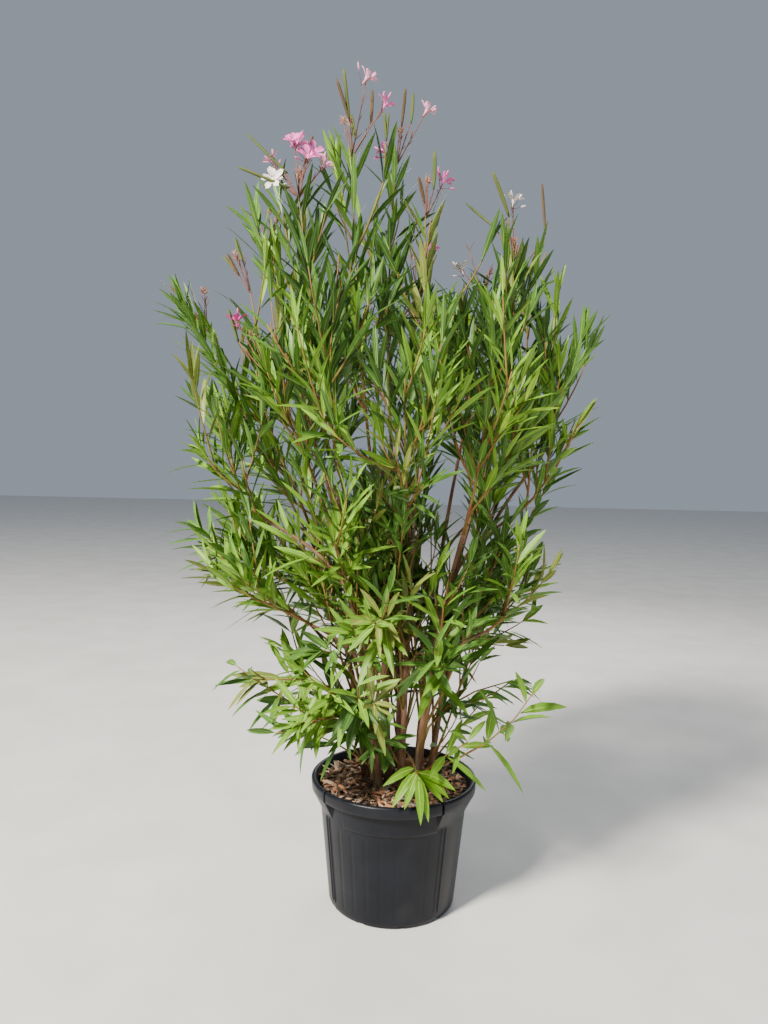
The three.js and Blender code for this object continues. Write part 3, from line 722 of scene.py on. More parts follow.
def grid_faces(rows: int, columns: int, wrap: bool) -> Array:
    """Triangles of a grid of vertices, row by row, whose columns may join end to end.

    Args:
        rows: The number of rows.
        columns: The number of vertices in a row.
        wrap: Whether the last column joins the first.

    Returns:
        The triangles, two for each cell of the grid.
    """
    row, column = np.meshgrid(np.arange(rows - 1), np.arange(columns - (not wrap)), indexing="ij")
    following = (column + 1) % columns
    a, b = row * columns + column, row * columns + following
    c, d = a + columns, b + columns
    return np.concatenate([np.stack([a, b, d], -1), np.stack([a, d, c], -1)]).reshape(-1, 3)


def closed_faces(rings: int, sides: int) -> Array:
    """Triangles of a tube or turned body whose first and last rings close on a point each.

    Args:
        rings: The number of rings.
        sides: The number of vertices in a ring.

    Returns:
        The triangles, where the two points follow the rings.
    """
    this = np.arange(sides)
    following = (this + 1) % sides
    last = (rings - 1) * sides
    foot, tip = rings * sides, rings * sides + 1
    start = np.stack([np.full(sides, foot), following, this], -1)
    end = np.stack([np.full(sides, tip), last + this, last + following], -1)
    return np.concatenate([grid_faces(rings, sides, True), start, end])


def tubes(control: Array, radii: Array) -> tuple[Array, Array]:
    """Tubes along quadratic curves: centre + radius (across cos + over sin).

    Args:
        control: The curves, with shape (tubes, 3, 3).
        radii: Radius of each vertex, with shape (tubes, rings, sides).

    Returns:
        Vertices with shape (tubes, rings * sides + 2, 3), and one tube's triangles.
    """
    count, rings, sides = radii.shape
    share = np.linspace(0, 1, rings)
    centre = curve_at(control[:, None], share)
    along = heading_at(control[:, None], share)
    first = unit(np.cross(along[:, :1], UP) + NUDGE)
    over = unit(np.cross(along, first))
    across = np.cross(over, along)
    turn = np.linspace(0, 2 * np.pi, sides, endpoint=False)[:, None]
    ring = across[:, :, None] * np.cos(turn) + over[:, :, None] * np.sin(turn)
    wall = centre[:, :, None] + radii[..., None] * ring
    ends = centre[:, [0, -1]]
    vertices = np.concatenate([wall.reshape(count, rings * sides, 3), ends], axis=1)
    return vertices, closed_faces(rings, sides)


# Finishes


@dataclass(frozen=True)
class Finish:
    """A surface of two colours, mixed by clouds on Object coordinates, with a fine bump."""

    name: str
    colour: Colour
    second: Colour
    cloud: float
    roughness: float
    bump: float
    grain: float
    stretch: float = 1
    contrast: float = 0.25
    gloss: float = 0.5

    def material(self) -> bpy.types.Material:
        """Builds the node material."""
        made = bpy.data.materials.new(self.name)
        made.use_nodes = True
        nodes, links = made.node_tree.nodes, made.node_tree.links
        shader = nodes["Principled BSDF"]
        shader.inputs["Roughness"].default_value = self.roughness
        shader.inputs["Specular IOR Level"].default_value = self.gloss
        place = nodes.new("ShaderNodeTexCoord")
        fit = nodes.new("ShaderNodeMapping")
        fit.inputs["Scale"].default_value = (1, 1, self.stretch)
        links.new(place.outputs["Object"], fit.inputs["Vector"])
        span = (0.5 - self.contrast / 2, 0.5 + self.contrast / 2)
        colour = self.clouded(fit, self.cloud, span, 1, self.colour, self.second)
        links.new(self.over(fit, colour), shader.inputs["Base Color"])
        grain = self.noise(fit, self.grain)
        bump = nodes.new("ShaderNodeBump")
        bump.inputs["Strength"].default_value = self.bump
        bump.inputs["Distance"].default_value = MM
        links.new(grain.outputs["Fac"], bump.inputs["Height"])
        links.new(bump.outputs["Normal"], shader.inputs["Normal"])
        return made

    def noise(self, fit: bpy.types.Node, scale: float) -> bpy.types.Node:
        """A noise texture.

        Args:
            fit: The material's mapping, through which it is read.
            scale: The noise's scale, per metre.

        Returns:
            The new node.
        """
        tree = fit.id_data
        node = tree.nodes.new("ShaderNodeTexNoise")
        node.inputs["Scale"].default_value = scale
        node.inputs["Detail"].default_value = 5
        tree.links.new(fit.outputs["Vector"], node.inputs["Vector"])
        return node

    def clouded(
        self,
        fit: bpy.types.Node,
        scale: float,
        span: tuple[float, float],
        share: float,
        first: Colour | bpy.types.NodeSocket,
        second: Colour,
    ) -> bpy.types.NodeSocket:
        """Mixes a second colour over a first, more of it where a noise is high.

        Args:
            fit: The material's mapping.
            scale: The noise's scale, per metre.
            span: The values of the noise between which the mix goes up from 0.
            share: What it goes up to.
            first: The colour below, or the socket that gives it.
            second: The colour above.

        Returns:
            The socket with the mixed colour.
        """
        nodes, links = fit.id_data.nodes, fit.id_data.links
        noise = self.noise(fit, scale)
        spread = nodes.new("ShaderNodeMapRange")
        spread.inputs["From Min"].default_value = span[0]
        spread.inputs["From Max"].default_value = span[1]
        spread.inputs["To Max"].default_value = share
        links.new(noise.outputs["Fac"], spread.inputs["Value"])
        mix = nodes.new("ShaderNodeMix")
        mix.data_type = "RGBA"
        if isinstance(first, tuple):
            mix.inputs["A"].default_value = (*first, 1)
        else:
            links.new(first, mix.inputs["A"])
        mix.inputs["B"].default_value = (*second, 1)
        links.new(spread.outputs["Result"], mix.inputs["Factor"])
        return mix.outputs["Result"]

    def over(self, fit: bpy.types.Node, colour: bpy.types.NodeSocket) -> bpy.types.NodeSocket:
        """What lies over the two colours: nothing on a plain finish."""
        return colour


@dataclass(frozen=True)
class PatchedFinish(Finish):
    """A finish with patches of a third colour over it, such as lichen on bark or dust on a pot."""

    patch: Colour = (0.3, 0.3, 0.3)
    patch_scale: float = 20
    patch_from: float = 0.55
    patch_to: float = 0.7
    patch_share: float = 0.6

    def over(self, fit: bpy.types.Node, colour: bpy.types.NodeSocket) -> bpy.types.NodeSocket:
        """Mixes the patch colour in where a noise of its own is high."""
        span = (self.patch_from, self.patch_to)
        return self.clouded(fit, self.patch_scale, span, self.patch_share, colour, self.patch)


def leaf_finish(name: str, colour: Colour, second: Colour, roughness: float = 0.42) -> Finish:
    """The leathery surface of a leaf in one tone."""
    return Finish(name, colour, second, 26, roughness, 0.25, 420, contrast=0.3, gloss=0.26)


# Pot and mulch


def near(angle: Array, middle: float, half: float, soft: float) -> Array:
    """1 within half of a middle angle and 0 outside it, with a smooth edge, in degrees.

    Args:
        angle: Angles round the pot.
        middle: The middle of the stretch.
        half: Half its width.
        soft: Half the width of its edge.

    Returns:
        Shares from 0 to 1.
    """
    away = np.abs((angle - middle + 180) % 360 - 180)
    share = np.clip((half + soft - away) / (2 * soft), 0, 1)
    return share * share * (3 - 2 * share)


def turned_body(
    radius: Array, turn: Array, height: Array, poles: tuple[float, float]
) -> tuple[Array, Array]:
    """A closed body turned round the axis: (radius cos, radius sin, height), and two poles.

    Args:
        radius: Radii, with shape (rows, columns).
        turn: The turn of each column or vertex, in radians.
        height: Heights, with the shape of the radii.
        poles: The heights at which the first and last rows close on the axis.

    Returns:
        Vertices with shape (1, n, 3), and their triangles.
    """
    skin = np.stack([radius * np.cos(turn), radius * np.sin(turn), height], -1).reshape(-1, 3)
    ends = np.array([[0, 0, pole] for pole in poles], float)
    return np.vstack([skin, ends])[None], closed_faces(*radius.shape)


@dataclass
class NurseryPot:
    """The moulded pot: wall with flutes and ribs, band, hand grips, rolled lip, drain notches."""

    flutes: int = 30
    flute_depth: float = 1.1
    flute_top: float = 274
    angle_step: float = 1
    slit: float = 9
    drain_half: float = 2.4
    finish: Finish = PatchedFinish(
        "pot plastic",
        (0.0062, 0.0072, 0.0105),
        (0.0088, 0.0100, 0.0142),
        9,
        0.36,
        0.3,
        260,
        gloss=0.2,
        patch=(0.034, 0.034, 0.036),
        patch_scale=14,
        patch_from=0.54,
        patch_to=0.9,
        patch_share=0.35,
    )

    def angles(self) -> Array:
        """Even angles, with more of them at slits, ribs and the edges of band and grips."""
        even = np.arange(0, 360, self.angle_step)
        edges = []
        for side in FRONT_AND_BACK:
            edges += [POT.front_middle + side + sign * POT.front_half for sign in (-1, 1)]
            edges += [POT.band_middle + side + sign * POT.band_half for sign in (-1, 1)]
            edges += [POT.front_middle + 90 + side + rib for rib in POT.rib_angles]
        close = np.array(edges)[:, None] + np.linspace(-1.3, 1.3, 13)
        return np.unique(np.round(np.concatenate([even, close.ravel() % 360]), 3))

    def outer(self, angle: Array) -> tuple[Array, Array]:
        """The wall from the bottom corner to under the lip.

        The radius is the taper, plus the band and ribs that stand out of it, minus the flutes,
        plus the grips' straight slope out to the lip.

        Args:
            angle: The angles round the pot.

        Returns:
            Radii and heights, each with shape (heights, angles).
        """
        grip_foot = POT.lip_bottom - POT.grip_depth
        levels = [
            np.linspace(POT.corner, POT.band_bottom - 2, 46),
            np.array([POT.band_bottom - 0.3, POT.band_bottom + 0.3]),
            np.linspace(grip_foot, POT.lip_bottom, 16),
        ]
        z = np.unique(np.concatenate(levels))[:, None]
        radius = POT.wall_at(z) + 0 * angle
        fluted = step(z, POT.rib_bottom, POT.rib_bottom + 12)
        fluted = fluted * (1 - step(z, self.flute_top - 12, self.flute_top))
        ribbed = step(z, POT.rib_bottom, POT.rib_bottom + 6)
        slope = np.clip((z - grip_foot) / POT.grip_depth, 0, 1)
        overhang = POT.lip_radius - 2 - POT.wall_at(POT.lip_bottom)
        rib_half = math.degrees(POT.rib_width / 2 / POT.shoulder_radius)
        for side in FRONT_AND_BACK:
            band = near(angle, POT.band_middle + side, POT.band_half, 0.35)
            radius = radius + POT.band_raised * band * (z > POT.band_bottom)
            front = near(angle, POT.front_middle + side, POT.front_half - 6, 3)
            groove = np.cos(np.radians(self.flutes * (angle - POT.front_middle) / 2)) ** 24
            radius = radius - self.flute_depth * front * fluted * groove
            grip_middle = POT.front_middle + 90 + side
            grip = near(angle, grip_middle, 90 - POT.front_half, 0.3)
            radius = radius + grip * slope * overhang
            for rib in POT.rib_angles:
                ridge = near(angle, grip_middle + rib, rib_half, 0.3)
                ridge = POT.rib_raised * ridge * ribbed
                radius = radius + ridge * (1 - step(z, POT.rib_top - 6, POT.rib_top))
        return radius, z + 0 * angle

    def rows(self) -> tuple[Array, Array, Array]:
        """The whole section at every angle, from the middle of the underside up and back down.

        The corner and the lip are quarter and half rounds: middle + radius (cos, sin). A drain
        notch takes the corner's radius away, and a slit takes the lip's overhang away.

        Returns:
            Radii, heights and angles, each with shape (rows, angles).
        """
        angle = self.angles()
        flat = 0 * angle
        drain = flat
        for i in range(POT.drain_count):
            middle = POT.front_middle + 360 * (i + 0.5) / POT.drain_count
            drain = drain + near(angle, middle, self.drain_half, 0.8)
        corner = np.radians(np.linspace(15, 90, 6))[:, None]
        corner_r = POT.base_radius - POT.corner * (1 - np.sin(corner)) - POT.corner * drain
        corner_z = POT.corner * (1 - np.cos(corner)) + flat
        wall_r, wall_z = self.outer(angle)
        slit = flat
        slit_half = math.degrees(self.slit / 2 / POT.lip_radius)
        for side in FRONT_AND_BACK:
            for sign in (-1, 1):
                middle = POT.front_middle + side + sign * POT.front_half
                slit = slit + near(angle, middle, slit_half, 0.15)
        crest = POT.lip_radius + POT.lip_swell - POT.lip_round
        roll = np.radians(np.linspace(0, 150, 11))[:, None]
        edge_r = POT.lip_radius + np.array([-1.6, 0, 1])[:, None] + flat
        edge_z = POT.lip_bottom + np.array([0.2, 1.6, 12])[:, None] + flat
        lip_r = np.vstack([edge_r, crest + POT.lip_round * np.cos(roll) + flat])
        roll_z = POT.height - POT.lip_round + POT.lip_round * np.sin(roll) + flat
        throat = POT.wall_at(POT.lip_bottom) + 3
        lip_r = np.where(lip_r > throat, lip_r - slit * (lip_r - throat), lip_r)
        inner_r = np.array([POT.wall_at(POT.lip_bottom) - POT.wall, POT.wall_at(0) - POT.wall])
        inner_z = np.array([POT.lip_bottom, POT.floor])
        under = [POT.base_radius - POT.corner + flat]
        radius = np.vstack([under, corner_r, wall_r, lip_r, inner_r[:, None] + flat])
        height = np.vstack([[flat], corner_z, wall_z, edge_z, roll_z, inner_z[:, None] + flat])
        return radius, height, angle + 0 * height

    def build(self) -> None:
        """Closes the section at the axis above and below, and makes the piece."""
        radius, height, angle = self.rows()
        body = turned_body(radius, np.radians(angle), height, (0, POT.floor))
        made = make_piece("nursery_pot", self.finish.material(), "pot", body)
        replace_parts(made, "pot")


def mulch_height(x: Array, y: Array) -> Array:
    """The height of the mulch: waves of several lengths and directions about the soil's level.

    Args:
        x: Places across.
        y: Places in depth.

    Returns:
        Heights with the shape of both.
    """
    rng = np.random.default_rng(5)
    height = 0 * x
    for length, size in MULCH_WAVES:
        for _ in range(3):
            way, phase = rng.uniform(0, 2 * np.pi, 2)
            wave = 2 * np.pi * (x * np.cos(way) + y * np.sin(way)) / length
            height = height + size * 0.6 * np.sin(wave + phase)
    return POT.soil_top + 2 + height


class Litter(Enum):
    """What lies on the soil: bark chips in five colours."""

    DARK = ("dark bark", (0.055, 0.032, 0.020), (0.110, 0.066, 0.040))
    RUST = ("rusty bark", (0.370, 0.150, 0.068), (0.530, 0.260, 0.130))
    BROWN = ("brown bark", (0.190, 0.105, 0.055), (0.280, 0.165, 0.090))
    TAN = ("tan bark", (0.520, 0.330, 0.210), (0.680, 0.480, 0.340))
    GREY = ("grey bark", (0.150, 0.125, 0.100), (0.230, 0.195, 0.160))


@dataclass
class Mulch:
    """The soil with bark chips and dry leaves on it."""

    chips: int = 1500
    shares: tuple[float, ...] = (0.31, 0.25, 0.22, 0.18, 0.04)
    dry_leaves: int = 26
    spread: float = 214
    soil: Finish = Finish(
        "potting mix", (0.034, 0.021, 0.014), (0.085, 0.050, 0.030), 60, 0.95, 1.0, 160
    )
    rng: np.random.Generator = numbers_from(11)

    def build(self) -> None:
        """Builds soil, chips and dry leaves."""
        self.build_soil()
        kind = self.rng.choice(len(self.shares), self.chips, p=self.shares)
        for i, litter in enumerate(Litter):
            name, colour, second = litter.value
            look = Finish(name, colour, second, 70, 0.85, 0.8, 300).material()
            chips = self.chip_vertices(int((kind == i).sum()))
            make_piece("mulch_" + name.replace(" ", "_"), look, "soil", (chips, CHIP_FACES))
        self.build_dry_leaves()

    def build_soil(self) -> None:
        """The soil as a turned body, its top a polar grid raised by the mulch's waves."""
        turn = np.radians(np.arange(0, 360, 2.5))
        mouth, foot = POT.wall_at(POT.lip_bottom), POT.wall_at(0)
        side_r = np.array([foot, mouth])[:, None] - POT.wall - 0.5 + 0 * turn
        side_z = np.array([POT.floor + SOIL_GAP, POT.lip_bottom - 1])[:, None] + 0 * turn
        top = np.linspace(mouth - 1.5, 6, 42)[:, None] + 0 * turn
        level = mulch_height(top * np.cos(turn), top * np.sin(turn)) - 3
        radius, height = np.vstack([side_r, top]), np.vstack([side_z, level])
        body = turned_body(radius, turn, height, (POT.floor + SOIL_GAP, POT.soil_top))
        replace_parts(make_piece("potting_soil", self.soil.material(), "soil", body), "soil")

    def chip_vertices(self, count: int) -> Array:
        """Flat chips: the corners of a box, each moved a little, tilted and turned at random.

        Args:
            count: How many chips.

        Returns:
            Vertices with shape (chips, 8, 3).
        """
        length = 8 + 48 * self.rng.uniform(0, 1, count) ** 1.6
        width, thickness = self.rng.uniform(4, 19, count), self.rng.uniform(1.5, 6, count)
        size = np.stack([length, width, thickness], -1)
        corner = BOX_CORNERS * (size[:, None] / 2) * self.rng.uniform(0.35, 1.15, (count, 8, 3))
        turn, tilt = self.rng.uniform(0, 2 * np.pi, count), self.rng.normal(0, 0.33, (2, count))
        distance = self.spread * np.sqrt(self.rng.uniform(0.02, 1, count))
        way = self.rng.uniform(0, 2 * np.pi, count)
        x, y = distance * np.cos(way), distance * np.sin(way)
        place = np.stack([x, y, mulch_height(x, y) + self.rng.uniform(-2, 3.5, count)], -1)
        along = unit(np.stack([np.cos(turn), np.sin(turn), tilt[0]], -1))
        tipped = np.stack([tilt[1], 0 * turn, 1 + 0 * turn], -1)
        over = unit(np.cross(along, np.cross(tipped, along)))
        frame = np.stack([along, np.cross(over, along), over], 1)
        return np.einsum("nki,nij->nkj", corner, frame) + place[:, None]

    def build_dry_leaves(self) -> None:
        """Curled dry leaves lying among the chips.

        A leaf that would reach too near the pot's wall is turned round, or else left out.
        """
        count = self.dry_leaves
        distance = self.spread * np.sqrt(self.rng.uniform(0.05, 0.9, count))
        way = self.rng.uniform(0, 7, count)
        x, y = distance * np.cos(way), distance * np.sin(way)
        turn = self.rng.uniform(0, 2 * np.pi, count)
        root = np.stack([x, y, mulch_height(x, y) + self.rng.uniform(2, 6, count)], -1)
        rise = self.rng.uniform(-0.05, 0.12, count)
        heading = unit(np.stack([np.cos(turn), np.sin(turn), rise], -1))
        heading = np.where((root + 90 * heading)[:, [0]] ** 2 > 200**2, -heading, heading)
        length = self.rng.uniform(45, 95, count)
        fits = np.hypot(*(root + length[:, None] * heading)[:, :2].T) < self.spread + 4
        blades = Blades(
            root=root,
            heading=heading,
            face=unit(UP + self.rng.normal(0, 0.3, (count, 3))),
            length=length,
            width=self.rng.uniform(9, 17, count),
            bend=self.rng.uniform(-0.05, 0.2, count),
            droop=np.zeros(count),
            fold=self.rng.uniform(0.3, 0.9, count),
        ).only(fits)
        look = leaf_finish("dry leaf", (0.16, 0.080, 0.034), (0.27, 0.155, 0.070), 0.8).material()
        make_piece("dry_leaves", look, "soil", (blades.vertices(), BLADE_FACES))


BOX_CORNERS = np.array(
    [[x, y, z] for z in (-1, 1) for x, y in ((-1, -1), (1, -1), (1, 1), (-1, 1))], float
)
CHIP_FACES = np.array(
    [
        *((0, 2, 1), (0, 3, 2), (4, 5, 6), (4, 6, 7)),
        *((0, 1, 5), (0, 5, 4), (1, 2, 6), (1, 6, 5)),
        *((2, 3, 7), (2, 7, 6), (3, 0, 4), (3, 4, 7)),
    ]
)


# Leaves


STATIONS = np.array([0.07, 0.25, 0.5, 0.76, 0.92])
HALF_WIDTHS = np.array([0.2, 0.78, 1.0, 0.72, 0.3])
RIB_RISE = 0.35
RIB_HALF = 0.75


def blade_faces() -> Array:
    """Triangles of a blade: root, five stations of left edge, midrib and right edge, then tip."""
    tip = 3 * len(STATIONS) + 1
    ends = [(0, 2, 1), (0, 3, 2), (tip, tip - 3, tip - 2), (tip, tip - 2, tip - 1)]
    return np.concatenate([ends, 1 + grid_faces(len(STATIONS), 3, False)])


def rib_faces() -> Array:
    """Triangles of a midrib strip over a blade, which ends on a point, and of one under it."""
    tip = 2 * len(STATIONS)
    over = np.concatenate([grid_faces(len(STATIONS), 2, False), [(tip - 2, tip - 1, tip)]])
    return np.concatenate([over, over[:, ::-1] + tip + 1])


BLADE_FACES = blade_faces()
RIB_FACES = rib_faces()


@dataclass
class Blades:
    """Leaf blades as arrays: one row of each field for each leaf, in millimetres."""

    root: Array
    heading: Array
    face: Array
    length: Array
    width: Array
    bend: Array
    droop: Array
    fold: Array

    def only(self, keep: Array) -> "Blades":
        """The leaves that a mask keeps."""
        return Blades(**{name: values[keep] for name, values in vars(self).items()})

    @staticmethod
    def joined(parts: list["Blades"]) -> "Blades":
        """Several sets of leaves as one."""
        names = vars(parts[0])
        return Blades(**{name: np.concatenate([vars(p)[name] for p in parts]) for name in names})

    def square(self) -> tuple[Array, Array]:
        """The upper side's direction made square to the heading, and the direction to the left."""
        along = (self.face * self.heading).sum(-1, keepdims=True)
        over = unit(self.face - along * self.heading)
        return over, np.cross(over, self.heading)

    def midline(self, share: Array) -> Array:
        """Points along the midribs: root + length (s heading - s^2 (bend over + droop up)).

        Args:
            share: The shares s of the length.

        Returns:
            Points with shape (leaves, shares, 3).
        """
        over, _ = self.square()
        s = share[None, :, None]
        sag = self.bend[:, None, None] * over[:, None] + self.droop[:, None, None] * UP
        way = s * self.heading[:, None] - s**2 * sag
        return self.root[:, None] + self.length[:, None, None] * way

    def vertices(self) -> Array:
        """Blades folded up along the midrib: midline +- half width (left cos + over sin)."""
        over, left = self.square()
        middle = self.midline(STATIONS)
        half = (self.width[:, None] / 2 * HALF_WIDTHS)[..., None]
        fold = self.fold[:, None, None]
        rise = half * np.sin(fold) * over[:, None]
        aside = half * np.cos(fold) * left[:, None]
        body = np.stack([middle + aside + rise, middle, middle - aside + rise], 2)
        body = body.reshape(len(self.root), -1, 3)
        tip = self.midline(np.array([1.0]))
        return np.concatenate([self.root[:, None], body, tip], 1)

    def ribs(self) -> Array:
        """Midrib strips just over and just under the blades, narrower towards the tip."""
        over, left = self.square()
        middle = self.midline(STATIONS)
        tip = self.midline(np.array([0.99]))
        half = (RIB_HALF * (1.15 - STATIONS))[None, :, None] * left[:, None]
        made = []
        for rise in (RIB_RISE, -RIB_RISE):
            raised = middle + rise * over[:, None]
            strip = np.stack([raised + half, raised - half], 2).reshape(len(self.root), -1, 3)
            made += [strip, tip + rise * over[:, None]]
        return np.concatenate(made, 1)


class Tone(Enum):
    """The tones that sprays of leaves are dealt out in, with the midrib's colour.

    Deep, green, fresh and lime are shaded and lit copies of one leaf green: painted shade and
    painted light, dealt out by where a spray stands.
    """

    # Deep to lime: one leaf green in shaded and lit copies, painted shade to painted light
    DEEP = ("deep", (0.030, 0.084, 0.010), (0.046, 0.116, 0.015), (0.20, 0.30, 0.06))
    GREEN = ("green", (0.062, 0.155, 0.018), (0.088, 0.205, 0.026), (0.30, 0.41, 0.10))
    FRESH = ("fresh", (0.112, 0.245, 0.015), (0.152, 0.310, 0.022), (0.42, 0.50, 0.12))
    LIME = ("lime", (0.185, 0.345, 0.018), (0.245, 0.425, 0.028), (0.50, 0.58, 0.14))
    OLIVE = ("olive", (0.130, 0.175, 0.025), (0.175, 0.215, 0.038), (0.38, 0.38, 0.13))
    BRIGHT = ("bright", (0.100, 0.240, 0.005), (0.145, 0.308, 0.008), (0.50, 0.58, 0.12))


# The painted light below which a spray gets each tone, from painted shade to painted light
PAINTED_LIGHT_STEPS = ((0.2, Tone.DEEP), (0.42, Tone.GREEN), (0.78, Tone.FRESH), (math.inf, Tone.LIME))


def in_gap(points: Array) -> Array:
    """Whether points lie in a gap as seen from the viewpoint.

    The line from the viewpoint to a point passes the middle plane at viewpoint + (point -
    viewpoint) s, with s = -viewpoint y / (point y - viewpoint y). There its distance from each
    gap's middle is compared with the gap's radius.

    Args:
        points: Places with the three coordinates last.

    Returns:
        A mask without the last axis of the points.
    """
    away = points - VIEWPOINT
    crossing = VIEWPOINT + away * (-VIEWPOINT[1] / away[..., 1:2])
    across = crossing[..., None, 0] - GAPS[:, 0]
    height = crossing[..., None, 2] - GAPS[:, 1]
    return (np.hypot(across, height) < GAPS[:, 2]).any(-1)


def in_shade(points: Array) -> Array:
    """Whether points stand among the canes or behind them, where shade thins the leaves.

    Args:
        points: Places with the three coordinates last.

    Returns:
        A mask without the last axis of the points.
    """
    x, y, z = np.moveaxis(points, -1, 0)
    among = np.hypot(x, y) < SHADE_REACH
    behind = (np.abs(x) < SHADE_REACH) & (y > 0)
    return (among | behind) & (z > SHADE_FOOT) & (z < SHADE_TOP)


@dataclass
class Spray:
    """One leafy shoot: its curve, its radii, and its leaves.

    The leaves have a start and end along it, a tone, a size, and degrees of spread, a droop and a
    breadth that are added. Where they make a fan, they turn round an axis of its own.
    """

    control: Array
    start_radius: float
    end_radius: float
    first: float
    last: float
    tone: Tone
    size: float = 1.0
    spread: float = 0.0
    droop: float = 0.0
    breadth: float = 1.0
    axis: Array | None = None


@dataclass
class Foliage:
    """Twigs and leaves of every mass, grown on from the leaders and side shoots of the solids."""

    growth: Growth
    limits: Array
    sights: Array
    twig_spacing: float = 56
    open_top: float = 1.8
    twig_reach: float = 235
    riser_reach: float = 540
    whorl_spacing: float = 34
    leaf_length: float = 134
    leaf_width: float = 17.2
    slack: float = 1.02
    young_length: float = 70
    whorl_turn: float = 60
    fan_turn: float = 20
    fan_whorls: int = 6
    open_share: float = 0.94
    shade_share: float = 0.5
    olive_share: float = 0.06
    fresh_sprigs: float = 0.3
    low_sprigs: float = 1400
    low_hang: tuple[float, float, float] = (8, 0.08, 1.2)
    twig_sides: int = 5
    twig_rings: int = 5
    bark: Finish = Finish(
        "young bark", (0.215, 0.160, 0.028), (0.210, 0.090, 0.020), 12, 0.75, 0.4, 240
    )
    sprays: list[Spray] = field(default_factory=list)
    rng: np.random.Generator = numbers_from(23)

    def build(self) -> None:
        """Grows the sprays, then makes the joined twigs, leaves and midribs."""
        for mass in self.growth.masses:
            self.dress_mass(mass)
        self.dress_canes()
        self.build_twigs()
        leaves: dict[Tone, list[Blades]] = {tone: [] for tone in Tone}
        for spray in self.sprays:
            blades = self.whorls(spray)
            if blades is not None:
                leaves[spray.tone].append(blades)
        LOG.info("sprays grown: %d", len(self.sprays))
        for tone, parts in leaves.items():
            if parts:
                self.build_leaves(tone, Blades.joined(parts))

    def build_leaves(self, tone: Tone, blades: Blades) -> None:
        """The leaves of one tone as a piece, and their midribs as another.

        Args:
            tone: The tone.
            blades: Its leaves.
        """
        name, colour, second, rib = tone.value
        look = leaf_finish(name + " leaf", colour, second).material()
        make_piece("leaves_" + name, look, "foliage", (blades.vertices(), BLADE_FACES))
        look = leaf_finish(name + " midrib", rib, tuple(1.15 * c for c in rib), 0.5).material()
        make_piece("midribs_" + name, look, "foliage", (blades.ribs(), RIB_FACES))
        LOG.info("%s leaves: %d", name, len(blades.root))

    def painted_light_tone(self, place: Array) -> Tone:
        """Deals a spray its tone: painted light outside and lower down, painted shade inside.

        Its painted light is 0.5 (distance from the axis / reach of the crown) - 0.24 (height -
        1100) / 1100 + 0.07, with some play.

        Args:
            place: A point of the spray.

        Returns:
            The tone.
        """
        reach = np.interp(place[2], CROWN[:, 0], (CROWN[:, 1] + CROWN[:, 2]) / 2)
        out = math.hypot(place[0], place[1]) / reach
        play = self.rng.normal(0, 0.19)
        # Painted light: lighter towards the outside and lower down, painted shade deeper inside
        light = 0.5 * out - 0.24 * (max(place[2], 1000) - 1100) / 1100 + 0.07 + play
        if self.rng.uniform() < self.olive_share:
            return Tone.OLIVE
        return next(tone for below, tone in PAINTED_LIGHT_STEPS if light < below)

    def dress_mass(self, mass: Mass) -> None:
        """Adds the mass's own shoots, and finer twigs along them by the same rule.

        Args:
            mass: The mass.
        """
        if mass.name == "rim_sprig":
            self.rosette(mass.shoots[0].control)
            return
        for order, shoot in enumerate(mass.shoots):
            if order and in_gap(shoot.control[1:]).any():
                continue
            head = order == 0 and mass.name in HEADS
            control = shoot.control if head else self.stretched(shoot)
            last = 0.93 if head else 1
            radius = 4.8 if order == 0 else 3.8
            tone = self.painted_light_tone(control[2])
            first, *leaves = BROAD_LEAVES if mass.name in BROAD else PLAIN_LEAVES
            self.sprays.append(Spray(control, radius, 2.0, first, last, tone, *leaves))
            self.finer_twigs(control, shoot.length, mass.index, 0.1)

    def stretched(self, shoot: Limb) -> Array:
        """The curve of a shoot carried on by the share that its solid's longer leaves reach.

        Args:
            shoot: The shoot of the solid.

        Returns:
            The longer curve, or the shoot's own where the longer one would leave the crown.
        """
        share = 1 + (LEAF_LENGTH - self.leaf_length) / shoot.length
        start, bend, _ = shoot.control
        control = np.array([start, start + share * (bend - start), curve_at(shoot.control, share)])
        ahead = control[2] + heading_at(control, 1.0) * 0.6 * self.leaf_length
        return control if in_crown(ahead, self.slack) else shoot.control

    def rosette(self, control: Array) -> None:
        """The sprig over the rim: a fan of broad bright leaves that hang out over the lip.

        Args:
            control: The curve of its leader in the solid.
        """
        out = unit(control[2] * np.array([1, 1, 0]))
        tip = control[2] + 40 * out + 30 * UP + np.array([2, 0, 0])
        longer = np.array([control[0], control[1] + 16 * UP, tip])
        axis = unit(out + 0.32 * UP)
        fan = Spray(longer, 3.6, 2.2, 0.92, 1, Tone.BRIGHT, 0.7, 28, 0.3, 1.7, axis)
        self.sprays.append(fan)

    def dress_canes(self) -> None:
        """Adds leafy twigs to stems and boughs, long risers beside the stems, and the sprigs."""
        for index, (name, limb) in enumerate(self.growth.limbs.items()):
            self.finer_twigs(limb.control, limb.length, index, 0.36)
            if name in STEMS:
                self.risers(limb, index)
        for on, at, bend, tip, first, size in SPRIGS.values():
            limb = self.growth.limbs[on]
            control = np.array([curve_at(limb.control, at), polar(bend), polar(tip)])
            tone = Tone.FRESH if self.rng.uniform() < self.fresh_sprigs else Tone.GREEN
            low = tip[2] < self.low_sprigs
            hang = self.low_hang if low else (0, 0, 1)
            self.sprays.append(Spray(control, 3.6, 1.5, first, 1, tone, size, *hang))

